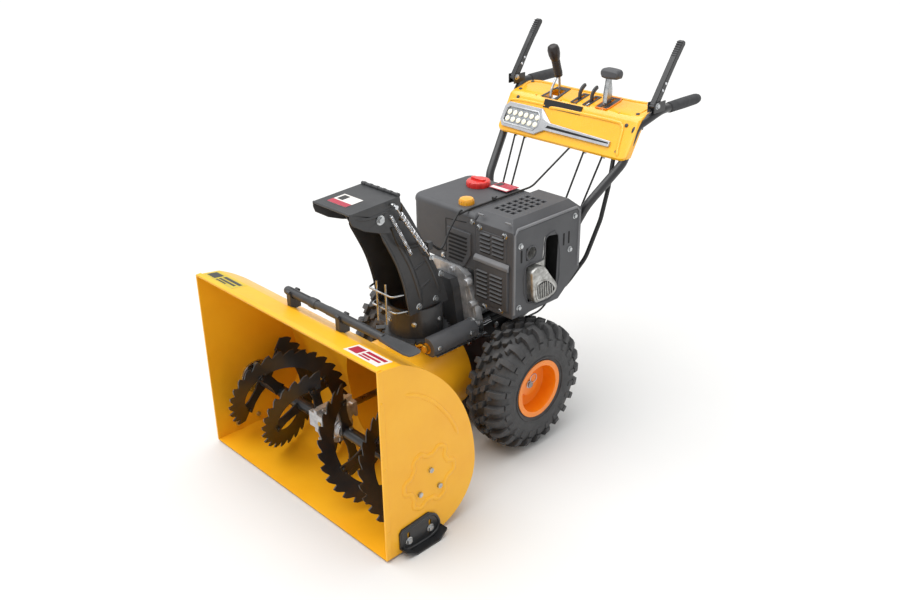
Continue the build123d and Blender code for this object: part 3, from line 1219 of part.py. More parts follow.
# ---------------------------------------------------------------- clean-out tool
TOOL_RADIUS = 12.0
TOOL_Y = FRONT + 94
TOOL_Z = 557.0
with BuildPart() as tool_clips:
    for x in (-60, 140):
        block((x - 8, TOOL_Y - 16, TOOL_Z - 40), (x + 8, TOOL_Y + 16, TOOL_Z + 6))
    rod((-90, TOOL_Y, TOOL_Z), (230, TOOL_Y, TOOL_Z), TOOL_RADIUS + FIT, Mode.SUBTRACT)
    low = (-90, TOOL_Y - TOOL_RADIUS - FIT, TOOL_Z)
    block(low, (230, TOOL_Y + TOOL_RADIUS + FIT, TOOL_Z + 30), Mode.SUBTRACT)
    extrude(scroll_face(across(-HALF_WIDTH), FRONT, 0), amount=HOUSING_WIDTH, mode=Mode.SUBTRACT)
finish(tool_clips, "tool_clips")

with BuildPart() as clean_out_tool:
    rod((-90, TOOL_Y, TOOL_Z), (300, TOOL_Y, TOOL_Z), TOOL_RADIUS)
    paddle = [
        (290, TOOL_Y - 12),
        (400, TOOL_Y - 22),
        (408, TOOL_Y),
        (400, TOOL_Y + 22),
        (290, TOOL_Y + 12),
    ]
    plate(level(TOOL_Z - 4), paddle, 8)
finish(clean_out_tool, "clean_out_tool")
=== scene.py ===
import json
import logging
import math
from collections.abc import Iterable, Sequence
from dataclasses import dataclass
from enum import Enum

import bmesh
import bpy
from mathutils import Matrix, Vector


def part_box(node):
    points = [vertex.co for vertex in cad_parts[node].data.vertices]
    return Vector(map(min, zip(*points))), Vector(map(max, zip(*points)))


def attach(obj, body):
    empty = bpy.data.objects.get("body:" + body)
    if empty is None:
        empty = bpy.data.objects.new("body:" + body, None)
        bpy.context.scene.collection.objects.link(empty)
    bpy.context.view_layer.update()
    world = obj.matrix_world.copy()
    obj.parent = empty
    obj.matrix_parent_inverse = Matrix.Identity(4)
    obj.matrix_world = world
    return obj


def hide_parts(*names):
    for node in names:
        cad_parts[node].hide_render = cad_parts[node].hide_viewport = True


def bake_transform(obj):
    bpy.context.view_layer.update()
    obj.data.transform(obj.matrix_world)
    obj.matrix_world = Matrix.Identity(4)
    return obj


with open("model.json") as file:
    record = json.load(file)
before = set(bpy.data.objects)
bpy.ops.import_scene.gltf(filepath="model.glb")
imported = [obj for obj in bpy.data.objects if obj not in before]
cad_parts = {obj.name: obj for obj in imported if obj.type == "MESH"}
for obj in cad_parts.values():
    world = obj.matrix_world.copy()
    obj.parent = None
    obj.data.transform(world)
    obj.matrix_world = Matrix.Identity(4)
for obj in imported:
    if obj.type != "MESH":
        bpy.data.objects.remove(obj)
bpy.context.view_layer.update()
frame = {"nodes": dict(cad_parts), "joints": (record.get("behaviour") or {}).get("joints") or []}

# Looks of a two-stage walk-behind snow blower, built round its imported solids.
# Sizes are in millimetres in the machine's own frame: +Z up, the intake faces -Y, +X is its left side.

log = logging.getLogger("snow_blower")
MM = 0.001
PAN_HEAD = ((0, 6), (1.4, 5.6), (2.2, 3.6))  # screw head: distance out of its seat, radius
COAT_ROUGHNESS = 0.08
DRIFT_ENDS = (0.35, 0.62)  # noise levels where the shade starts and where the main colour is reached
SPECK_MM = 14
SPECK_LEVELS = (0.55, 0.75)
DUST_COLOUR = "#8A867E"
GLOSS_PATCH_MM = 28
Point = Sequence[float]


# ---------------------------------------------------------------- finishes
def linear(code: str, alpha: float = 1.0) -> tuple[float, float, float, float]:
    """Turn an sRGB hex colour into linear values.

    Args:
        code: Colour such as "#FFC832".
        alpha: Opacity kept as the fourth value.

    Returns:
        Linear red, green, blue and alpha.
    """
    parts = [int(code[i : i + 2], 16) / 255 for i in (1, 3, 5)]
    red, green, blue = (p / 12.92 if p <= 0.04045 else ((p + 0.055) / 1.055) ** 2.4 for p in parts)
    return red, green, blue, alpha


def add_node(
    tree: bpy.types.NodeTree,
    kind: str,
    settings: dict[str | int, object] | None = None,
    links: dict[str | int, bpy.types.NodeSocket] | None = None,
) -> bpy.types.Node:
    """Add one shader node with its settings and the links into it.

    Args:
        tree: Tree that gets the node.
        kind: Node type.
        settings: Properties or input values, by name or by socket number.
        links: Sockets that feed the node's inputs.

    Returns:
        The new node.
    """
    node = tree.nodes.new(kind)
    for key, value in (settings or {}).items():
        if isinstance(key, str) and hasattr(node, key):
            setattr(node, key, value)
        else:
            node.inputs[key].default_value = value
    for key, source in (links or {}).items():
        tree.links.new(source, node.inputs[key])
    return node


class Surface(Enum):
    """How a surface was made, which decides the pattern of its bump."""

    SMOOTH = "smooth"
    PEBBLED = "pebbled"
    BRUSHED = "brushed"
    WRAPPED = "wrapped"
    CELLULAR = "cellular"


@dataclass(frozen=True)
class Finish:
    """One material: what it is, how it was made and what that gives the eye."""

    name: str
    colour: str
    shade: str
    roughness: float
    metallic: float = 0.0
    ior: float = 1.5
    drift_mm: float = 90.0
    surface: Surface = Surface.SMOOTH
    grain_mm: float = 1.2
    grain_height_mm: float = 0.02
    roughness_spread: float = 0.08
    dust: float = 0.0
    coat: float = 0.0
    transmission: float = 0.0
    slot: str | None = None  # material slot of the record, where one finish has one slot

    def material(self) -> bpy.types.Material:
        """Return the Blender material of this finish, made on its first use."""
        made = bpy.data.materials.get(self.name)
        if made:
            return made
        made = bpy.data.materials.new(self.name)
        made.use_nodes = True
        tree = made.node_tree
        shader = tree.nodes["Principled BSDF"]
        shader.inputs["Metallic"].default_value = self.metallic
        if not self.metallic:
            shader.inputs["IOR"].default_value = self.ior
        shader.inputs["Coat Weight"].default_value = self.coat
        shader.inputs["Coat Roughness"].default_value = COAT_ROUGHNESS
        shader.inputs["Transmission Weight"].default_value = self.transmission
        place = add_node(tree, "ShaderNodeTexCoord").outputs["Object"]
        tree.links.new(self._colour(tree, place), shader.inputs["Base Color"])
        tree.links.new(self._roughness(tree, place), shader.inputs["Roughness"])
        tree.links.new(self._bump(tree, place), shader.inputs["Normal"])
        return made

    def _colour(self, tree: bpy.types.NodeTree, place: bpy.types.NodeSocket) -> bpy.types.NodeSocket:
        """Drift slowly between the main colour and its shade, with a little dust.

        Args:
            tree: Tree of the material.
            place: Coordinates in metres.

        Returns:
            The colour socket.
        """
        settings = {"Scale": 1 / (self.drift_mm * MM), "Detail": 4.0, "Roughness": 0.6}
        drift = add_node(tree, "ShaderNodeTexNoise", settings, {"Vector": place})
        ramp = add_node(tree, "ShaderNodeValToRGB", links={"Fac": drift.outputs["Fac"]})
        for stop, level, code in zip(ramp.color_ramp.elements, DRIFT_ENDS, (self.shade, self.colour)):
            stop.position = level
            stop.color = linear(code)
        if not self.dust:
            return ramp.outputs["Color"]
        settings = {"Scale": 1 / (SPECK_MM * MM), "Detail": 8.0, "Roughness": 0.75}
        specks = add_node(tree, "ShaderNodeTexNoise", settings, {"Vector": place})
        settings = {"From Min": SPECK_LEVELS[0], "From Max": SPECK_LEVELS[1], "To Max": self.dust}
        amount = add_node(tree, "ShaderNodeMapRange", settings, {"Value": specks.outputs["Fac"]})
        settings = {"data_type": "RGBA", 7: linear(DUST_COLOUR)}
        links = {0: amount.outputs["Result"], 6: ramp.outputs["Color"]}
        return add_node(tree, "ShaderNodeMix", settings, links).outputs[2]

    def _roughness(self, tree: bpy.types.NodeTree, place: bpy.types.NodeSocket) -> bpy.types.NodeSocket:
        """Vary the gloss in patches of a few centimetres, as handling and moulding do.

        Args:
            tree: Tree of the material.
            place: Coordinates in metres.

        Returns:
            The roughness socket.
        """
        settings = {"Scale": 1 / (GLOSS_PATCH_MM * MM), "Detail": 5.0}
        patches = add_node(tree, "ShaderNodeTexNoise", settings, {"Vector": place})
        settings = {
            "To Min": max(0.02, self.roughness - self.roughness_spread),
            "To Max": min(1.0, self.roughness + self.roughness_spread),
        }
        spread = add_node(tree, "ShaderNodeMapRange", settings, {"Value": patches.outputs["Fac"]})
        return spread.outputs["Result"]

    def _bump(self, tree: bpy.types.NodeTree, place: bpy.types.NodeSocket) -> bpy.types.NodeSocket:
        """Raise the grain that the surface's making leaves.

        Args:
            tree: Tree of the material.
            place: Coordinates in metres.

        Returns:
            The normal socket.
        """
        scale = 1 / (self.grain_mm * MM)
        if self.surface in (Surface.PEBBLED, Surface.CELLULAR):
            feature = "SMOOTH_F1" if self.surface is Surface.PEBBLED else "F1"
            settings = {"feature": feature, "Scale": scale}
            grain = add_node(tree, "ShaderNodeTexVoronoi", settings, {"Vector": place}).outputs["Distance"]
        elif self.surface is Surface.BRUSHED:
            settings = {"Scale": (scale * 0.06, scale, scale)}
            stretched = add_node(tree, "ShaderNodeMapping", settings, {"Vector": place})
            links = {"Vector": stretched.outputs["Vector"]}
            grain = add_node(tree, "ShaderNodeTexNoise", {"Scale": 1.0, "Detail": 3.0}, links).outputs["Fac"]
        elif self.surface is Surface.WRAPPED:
            settings = {"bands_direction": "Z", "Scale": scale / 6, "Distortion": 1.5}
            grain = add_node(tree, "ShaderNodeTexWave", settings, {"Vector": place}).outputs["Fac"]
        else:
            settings = {"Scale": scale, "Detail": 2.0}
            grain = add_node(tree, "ShaderNodeTexNoise", settings, {"Vector": place}).outputs["Fac"]
        settings = {"Strength": 1.0, "Distance": self.grain_height_mm * MM}
        return add_node(tree, "ShaderNodeBump", settings, {"Height": grain}).outputs["Normal"]


# Powder coat on pressed steel: a thick gloss skin with a faint orange peel a few millimetres across.
YELLOW_POWDER_COAT = Finish(
    "yellow_powder_coat", "#F7B51C", "#F2AC14", 0.42, drift_mm=180, grain_mm=3.5,
    grain_height_mm=0.012, coat=0.14, slot="housing_paint",
)  # fmt: skip
ORANGE_POWDER_COAT = Finish(
    "orange_powder_coat", "#FB8C0A", "#F28205", 0.34, drift_mm=120, grain_mm=3.0,
    grain_height_mm=0.012, coat=0.4, slot="rim_paint",
)  # fmt: skip
# Black powder coat on steel: satin, and it catches a broad soft highlight.
BLACK_POWDER_COAT = Finish(
    "black_powder_coat", "#222325", "#1A1B1D", 0.36, drift_mm=70, grain_mm=2.2,
    grain_height_mm=0.02, coat=0.25, dust=0.04, slot="black_steel",
)  # fmt: skip
# Bright zinc plate on pressed steel: pale grey with cloudy patches.
ZINC_PLATE = Finish(
    "bright_zinc_plate", "#C9CBCC", "#A3A6A8", 0.28, metallic=1.0, drift_mm=12,
    surface=Surface.BRUSHED, grain_mm=0.8, grain_height_mm=0.01, slot="zinc_steel",
)  # fmt: skip
# Turned and ground shaft steel: fine rings round its axis, darker than zinc.
GROUND_STEEL = Finish(
    "ground_steel", "#9A9B9D", "#7C7D80", 0.30, metallic=1.0, drift_mm=20,
    surface=Surface.BRUSHED, grain_mm=0.6, grain_height_mm=0.01,
)  # fmt: skip
# Die-cast aluminium: bright, slightly grainy, with soft dark patches in its hollows.
DIE_CAST_ALUMINIUM = Finish(
    "die_cast_aluminium", "#CDCED0", "#A2A4A7", 0.40, metallic=0.6, drift_mm=26,
    surface=Surface.PEBBLED, grain_mm=1.6, grain_height_mm=0.05, roughness_spread=0.12,
)  # fmt: skip
# Chromed spring wire: a clean mirror broken up by its own turns.
CHROMED_WIRE = Finish(
    "chromed_spring_wire", "#DADCDF", "#C4C6CA", 0.12, metallic=1.0, drift_mm=30, slot="spring_chrome"
)
# Brass bolt, machined: warm yellow metal.
MACHINED_BRASS = Finish("machined_brass", "#C9A24B", "#A9853A", 0.30, metallic=1.0, drift_mm=10)
# Polypropylene moulded in a lightly textured tool: black with a wide dull sheen.
BLACK_POLYPROPYLENE = Finish(
    "black_moulded_polypropylene", "#3A3B3D", "#313234", 0.40, ior=1.49, drift_mm=60,
    surface=Surface.PEBBLED, grain_mm=1.4, grain_height_mm=0.035, dust=0.05, slot="black_plastic",
)  # fmt: skip
# ABS moulded in a spark-eroded tool: dark grey, evenly matt.
GREY_ABS = Finish(
    "grey_textured_abs", "#4A4B4E", "#434447", 0.55, ior=1.53, drift_mm=110,
    surface=Surface.PEBBLED, grain_mm=1.1, grain_height_mm=0.05, slot="grey_plastic",
)  # fmt: skip
PALE_GREY_ABS = Finish(
    "pale_grey_abs", "#747578", "#68696C", 0.50, ior=1.53, drift_mm=90,
    surface=Surface.PEBBLED, grain_mm=1.1, grain_height_mm=0.04, slot="grey_plastic",
)  # fmt: skip
# ABS moulded in a polished tool: strong colour under a clear gloss.
YELLOW_ABS = Finish(
    "yellow_gloss_abs", "#FDBA22", "#F8B018", 0.26, ior=1.53, drift_mm=200, grain_mm=6.0,
    grain_height_mm=0.01, coat=0.5, slot="console_plastic",
)  # fmt: skip
RED_ABS = Finish(
    "red_gloss_abs", "#E02A22", "#C91F19", 0.28, ior=1.53, drift_mm=30, coat=0.4, slot="cap_red"
)
AMBER_ABS = Finish(
    "amber_gloss_abs", "#F2AE2A", "#E79F1C", 0.30, ior=1.53, drift_mm=30, coat=0.35, slot="cap_yellow"
)
BROWN_NYLON = Finish(
    "dark_brown_nylon", "#241A18", "#1A1312", 0.42, ior=1.53, drift_mm=50,
    surface=Surface.PEBBLED, grain_mm=1.3, grain_height_mm=0.04, slot="brown_plastic",
)  # fmt: skip
SILVER_LACQUER = Finish(
    "silver_lacquered_abs", "#C3C5C8", "#B4B6BA", 0.26, metallic=0.65, drift_mm=90, coat=0.4,
    slot="bezel_chrome"
)
# Polycarbonate lens: clear, with the lamp's bright beads behind it.
CLEAR_POLYCARBONATE = Finish(
    "clear_polycarbonate", "#F4F8FA", "#EEF3F6", 0.08, ior=1.58, drift_mm=40, transmission=0.92
)
LAMP_BEAD = Finish("lamp_bead_resin", "#FFFBE8", "#FFF6D8", 0.25, ior=1.5, drift_mm=10)
# Tyre rubber: matt black with a greyish bloom and mould dust in its grooves.
TYRE_RUBBER = Finish(
    "moulded_tyre_rubber", "#3F3F40", "#343435", 0.62, ior=1.52, drift_mm=24,
    surface=Surface.PEBBLED, grain_mm=2.0, grain_height_mm=0.08, dust=0.16, slot="tyre_rubber",
)  # fmt: skip
DRIVE_RUBBER = Finish(
    "belt_rubber", "#161616", "#0F0F0F", 0.7, ior=1.52, drift_mm=20, dust=0.1, slot="drive_rubber"
)
# Closed-cell foam sleeve: deep grey, very matt, with pores drawn at 1.5 mm so that they show.
GRIP_FOAM = Finish(
    "closed_cell_grip_foam", "#424345", "#38393B", 0.86, ior=1.5, drift_mm=18,
    surface=Surface.CELLULAR, grain_mm=1.5, grain_height_mm=0.12, slot="grip_foam",
)  # fmt: skip
# Extruded cable sheath: smooth soft black with faint rings.
CABLE_SHEATH = Finish(
    "extruded_cable_sheath", "#151617", "#0F1011", 0.45, ior=1.5, drift_mm=20,
    surface=Surface.WRAPPED, grain_mm=2.5, grain_height_mm=0.03, slot="cable_sheath",
)  # fmt: skip
# Printed vinyl labels: flat colours under a thin satin film, with no lettering.
YELLOW_VINYL = Finish("yellow_label_vinyl", "#C9B21E", "#BFA81A", 0.40, drift_mm=40, coat=0.2)
WHITE_VINYL = Finish("white_label_vinyl", "#E9E6E2", "#DEDAD5", 0.40, drift_mm=40, coat=0.2)
RED_VINYL = Finish("red_label_vinyl", "#B3243F", "#A51F39", 0.40, drift_mm=40, coat=0.2)
BLACK_VINYL = Finish("black_label_vinyl", "#121212", "#0D0D0D", 0.35, drift_mm=40, coat=0.2)
# Silvered exhaust steel: heat has dulled it in patches.
EXHAUST_STEEL = Finish(
    "aluminised_exhaust_steel", "#C2C2BF", "#8F8E8A", 0.36, metallic=0.9, drift_mm=16,
    surface=Surface.PEBBLED, grain_mm=1.2, grain_height_mm=0.03, roughness_spread=0.14,
    slot="muffler_steel",
)  # fmt: skip
# Near-black: painted shade inside covers, seen through holes, slots and vents and in the outlet's mouth; also
# the shroud's seam line and the black stripe on the console's face.
SHADE_AND_LINE_BLACK = Finish("painted_shade_and_line_black", "#08080A", "#050506", 0.8, drift_mm=40)
# Seamless paper floor under soft light.
PALE_PAPER = Finish("pale_studio_paper", "#D9D9D8", "#D7D7D6", 0.9, drift_mm=900, grain_height_mm=0.0)


# ---------------------------------------------------------------- mesh kit
def smooth_path(points: Iterable[Point], steps: int = 8, closed: bool = False) -> list[Vector]:
    """Run a smooth curve through points (Catmull-Rom).

    Args:
        points: Points that the curve passes.
        steps: Points made for each span.
        closed: Whether the curve joins its start.

    Returns:
        Points along the curve.
    """
    spots = [Vector(p) for p in points]
    count = len(spots)
    path: list[Vector] = []
    for i in range(count if closed else count - 1):
        if closed:
            a, b, c, d = (spots[(i + k) % count] for k in (-1, 0, 1, 2))
        else:
            a, b = spots[max(i - 1, 0)], spots[i]
            c, d = spots[i + 1], spots[min(i + 2, count - 1)]
        for step in range(steps):
            t = step / steps
            path.append(
                0.5
                * (
                    2 * b
                    + (c - a) * t
                    + (2 * a - 5 * b + 4 * c - d) * t * t
                    + (3 * b - a - 3 * c + d) * t**3
                )
            )
    if not closed:
        path.append(spots[-1])
    return path


def coil(start: Point, end: Point, radius: float, turns: float, steps: int = 14) -> list[Vector]:
    """Helix of wire between two points.

    Args:
        start: Centre of the first turn.
        end: Centre of the last turn.
        radius: Radius of the turns.
        turns: Number of turns.
        steps: Points for each turn.

    Returns:
        Points along the wire.
    """
    a, b = Vector(start), Vector(end)
    turn = (b - a).to_track_quat("Z", "Y").to_matrix()
    total = int(turns * steps)
    path = []
    for i in range(total + 1):
        angle = 2 * math.pi * turns * i / total
        ring = turn @ Vector((radius * math.cos(angle), radius * math.sin(angle), 0))
        path.append(a.lerp(b, i / total) + ring)
    return path


class Shape:
    """A mesh under construction, in millimetres in the machine's frame."""

    def __init__(self) -> None:
        """Start with an empty mesh."""
        self.bm = bmesh.new()

    def _faces(self, rings: list[list[Vector]], closed_ring: bool, capped: bool) -> None:
        """Skin a row of equal rings of points.

        Args:
            rings: Rings of points, first to last.
            closed_ring: Whether each ring joins its own start.
            capped: Whether the first and last rings are filled.
        """
        rows = [[self.bm.verts.new(p) for p in ring] for ring in rings]
        span = len(rows[0]) if closed_ring else len(rows[0]) - 1
        for low, high in zip(rows, rows[1:]):
            for i in range(span):
                j = (i + 1) % len(low)
                self.bm.faces.new((low[i], low[j], high[j], high[i]))
        if capped:
            self.bm.faces.new(list(reversed(rows[0])))
            self.bm.faces.new(rows[-1])

    def skin(self, rings: list[list[Point]], closed: bool = False) -> "Shape":
        """Skin rings of points into a solid, or into a closed hoop.

        Args:
            rings: Rings of points with the same count.
            closed: Whether the last ring joins the first.

        Returns:
            This shape.
        """
        spots = [[Vector(p) for p in ring] for ring in rings]
        if closed:
            spots.append(spots[0])
        self._faces(spots, True, not closed)
        if closed:
            bmesh.ops.remove_doubles(self.bm, verts=self.bm.verts, dist=1e-4)
        return self

    def prism(self, outline: Iterable[tuple[float, float]], axis: str, low: float, high: float) -> "Shape":
        """Solid of one outline pushed along an axis.

        Args:
            outline: Points as (Y, Z) for axis "X", (X, Z) for "Y" and (X, Y) for "Z".
            axis: Axis the outline is pushed along.
            low: Where the solid starts on the axis.
            high: Where it ends.

        Returns:
            This shape.
        """
        place = {
            "X": lambda a, b, c: (c, a, b),
            "Y": lambda a, b, c: (a, c, b),
            "Z": lambda a, b, c: (a, b, c),
        }[axis]
        points = list(outline)
        self._faces([[Vector(place(a, b, c)) for a, b in points] for c in (low, high)], True, True)
        return self

    def block(self, low: Point, high: Point) -> "Shape":
        """Rectangular block between two corners."""
        outline = [(low[0], low[1]), (high[0], low[1]), (high[0], high[1]), (low[0], high[1])]
        return self.prism(outline, "Z", low[2], high[2])

    def lathe(
        self, profile: Iterable[tuple[float, float]], origin: Point, axis: Point, sides: int = 40
    ) -> "Shape":
        """Solid turned about an axis.

        Args:
            profile: (distance along the axis, radius) pairs, first to last.
            origin: Point the distances start from.
            axis: Direction of the axis.
            sides: Number of flats round it.

        Returns:
            This shape.
        """
        turn = Vector(axis).normalized().to_track_quat("Z", "Y").to_matrix()
        rings = []
        for along, radius in profile:
            ring = []
            for i in range(sides):
                angle = 2 * math.pi * i / sides
                spot = Vector((radius * math.cos(angle), radius * math.sin(angle), along))
                ring.append(Vector(origin) + turn @ spot)
            rings.append(ring)
        self._faces(rings, True, True)
        return self

    def rod(
        self, start: Point, end: Point, radius: float, tip: float | None = None, sides: int = 24
    ) -> "Shape":
        """Round bar, tapered when tip is given."""
        axis = Vector(end) - Vector(start)
        return self.lathe([(0, radius), (axis.length, radius if tip is None else tip)], start, axis, sides)

    def bolt(self, seat: Point, out: Point, size: float) -> "Shape":
        """Flanged hexagon head with its washer face, standing on a seat.

        Args:
            seat: Centre of the seat.
            out: Direction the head stands out.
            size: Radius of the bolt's shank.

        Returns:
            This shape.
        """
        base, up = Vector(seat), Vector(out).normalized()
        self.lathe([(-0.5, size * 2.3), (0.8, size * 2.3), (1.6, size * 1.9)], base, up, 28)
        self.lathe([(0.8, size * 1.75), (size * 1.3, size * 1.75), (size * 1.55, size * 1.5)], base, up, 6)
        return self

    def pipe(self, points: Iterable[Point], radius: float, sides: int = 10, closed: bool = False) -> "Shape":
        """Round bar that follows points.

        Args:
            points: Points along its middle.
            radius: Radius of the bar.
            sides: Number of flats round it.
            closed: Whether it joins its own start.

        Returns:
            This shape.
        """
        path = [Vector(p) for p in points]
        count = len(path)
        ahead = (path[1] - path[0]).normalized()
        side = ahead.orthogonal().normalized()
        rings = []
        for i, spot in enumerate(path):
            before = path[i - 1] if i or closed else spot
            after = path[(i + 1) % count] if i < count - 1 or closed else spot
            ahead = (after - before).normalized()
            side = (side - ahead * side.dot(ahead)).normalized()
            up = ahead.cross(side)
            turns = (2 * math.pi * k / sides for k in range(sides))
            rings.append([spot + (side * math.cos(a) + up * math.sin(a)) * radius for a in turns])
        return self.skin(rings, closed)

    def bead(
        self, points: Iterable[Point], out: Point, half: float, height: float, closed: bool = False
    ) -> "Shape":
        """Half-round bead pressed or moulded along a line on a surface.

        Args:
            points: Points of the line.
            out: Direction that the bead stands out in.
            half: Half its width.
            height: How far it stands out.
            closed: Whether the line joins up.

        Returns:
            This shape.
        """
        spots = [Vector(p) for p in points]
        normal = Vector(out).normalized()
        count = len(spots)
        rings = []
        for i, spot in enumerate(spots):
            ahead = spots[(i + 1) % count] if closed else spots[min(i + 1, count - 1)]
            behind = spots[i - 1] if closed else spots[max(i - 1, 0)]
            across = (ahead - behind).cross(normal).normalized()
            fade = 1.0 if closed else min(1.0, (min(i, count - 1 - i) + 0.25) / 3)
            wide, tall = half * (0.3 + 0.7 * fade), height * fade
            angles = [math.radians(a) for a in range(0, 181, 30)]
            ring = [spot + across * wide * math.cos(a) + normal * tall * math.sin(a) for a in angles]
            ring += [spot - across * wide * 0.8 - normal * 0.6, spot + across * wide * 0.8 - normal * 0.6]
            rings.append(ring)
        return self.skin(rings, closed)

    def cut(self, other: "Shape") -> "Shape":
        """Take another shape out of this one.

        Args:
            other: Shape to remove.

        Returns:
            This shape.
        """
        mine, theirs = self._temporary("cut_a"), other._temporary("cut_b")
        step = mine.modifiers.new("cut", "BOOLEAN")
        step.operation, step.solver, step.object = "DIFFERENCE", "EXACT", theirs
        evaluated = mine.evaluated_get(bpy.context.evaluated_depsgraph_get())
        self.bm = bmesh.new()
        self.bm.from_mesh(evaluated.to_mesh())
        for obj in (mine, theirs):
            bpy.data.objects.remove(obj)
        return self

    def _temporary(self, name: str) -> bpy.types.Object:
        """Put the mesh in the scene under a passing name, for one modifier."""
        bmesh.ops.recalc_face_normals(self.bm, faces=self.bm.faces)
        mesh = bpy.data.meshes.new(name)
        self.bm.to_mesh(mesh)
        obj = bpy.data.objects.new(name, mesh)
        bpy.context.scene.collection.objects.link(obj)
        bpy.context.view_layer.update()
        return obj

    def piece(
        self,
        name: str,
        body: str | None,
        finish: Finish,
        slot: str | None = None,
        replaces: Sequence[str] = (),
        bevel: float = 0.0,
        subdivide: int = 0,
        smooth: float = 38.0,
    ) -> bpy.types.Object:
        """Finish the mesh as a piece of the machine.

        Args:
            name: Name of the piece.
            body: Body it moves with, or None to leave it with no body.
            finish: Its finish.
            slot: Material slot of the record, or None for the finish's own; not used.
            replaces: CAD nodes that it stands for.
            bevel: Width of its rounded edges.
            subdivide: Levels of subdivision surface.
            smooth: Largest angle that shades smoothly, in degrees.

        Returns:
            The new object.
        """
        bmesh.ops.recalc_face_normals(self.bm, faces=self.bm.faces)
        bmesh.ops.scale(self.bm, vec=(MM, MM, MM), verts=self.bm.verts)
        mesh = bpy.data.meshes.new(name)
        self.bm.to_mesh(mesh)
        self.bm.free()
        obj = bpy.data.objects.new(name, mesh)
        bpy.context.scene.collection.objects.link(obj)
        mesh.materials.append(finish.material())
        if bevel:
            round_edges(obj, bevel)
        if subdivide:
            surface = obj.modifiers.new("surface", "SUBSURF")
            surface.levels = surface.render_levels = subdivide
        mesh.shade_smooth()
        mesh.set_sharp_from_angle(angle=math.radians(smooth))
        if body:
            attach(obj, body)
        slot = slot or finish.slot
        if replaces:
            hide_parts(*replaces)
        log.info("made %s in %s", name, finish.name)
        return obj


def round_edges(obj: bpy.types.Object, width: float, segments: int = 2) -> None:
    """Round an object's sharp edges by a width in millimetres."""
    bevel = obj.modifiers.new("edges", "BEVEL")
    bevel.width = width * MM
    bevel.segments = segments
    bevel.limit_method = "ANGLE"
    bevel.angle_limit = math.radians(40)
    bevel.harden_normals = True
    bevel.use_clamp_overlap = True


def dress(nodes: str | Sequence[str], finish: Finish, bevel: float = 0.0) -> None:
    """Give CAD nodes their finish and soft edges.

    Args:
        nodes: One node name or several.
        finish: Their finish.
        bevel: Width of the rounded edges in millimetres.
    """
    for name in [nodes] if isinstance(nodes, str) else nodes:
        obj = frame["nodes"][name]
        if not obj.material_slots:
            obj.data.materials.append(finish.material())
        for place in obj.material_slots:
            place.material = finish.material()
        if bevel:
            join = obj.modifiers.new("join", "WELD")
            join.merge_threshold = 0.01 * MM
            round_edges(obj, bevel)
        log.info("dressed %s in %s", name, finish.name)


def box(node: str) -> tuple[Vector, Vector]:
    """Lowest and highest corners of a CAD node in millimetres."""
    low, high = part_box(node)
    return low / MM, high / MM


def joint_at(name: str) -> Vector:
    """Point that a joint turns about, in millimetres."""
    found = next(j for j in frame["joints"] if j["name"] == name)
    return Vector(found["pos_m"]) / MM


def surface_at(node: str, start: Point, towards: Point) -> Vector:
    """Where a ray meets a CAD node.

    Args:
        node: Node that is hit.
        start: Start of the ray in millimetres.
        towards: Direction of the ray.

    Returns:
        The point met, in millimetres, or the start if the ray misses.
    """
    obj = frame["nodes"][node]
    hit, spot, _, _ = obj.ray_cast(Vector(start) * MM, Vector(towards).normalized())
    return spot / MM if hit else Vector(start)


def side_name(side: int) -> str:
    """Word for a side: +1 is the machine's left."""
    return "left" if side > 0 else "right"


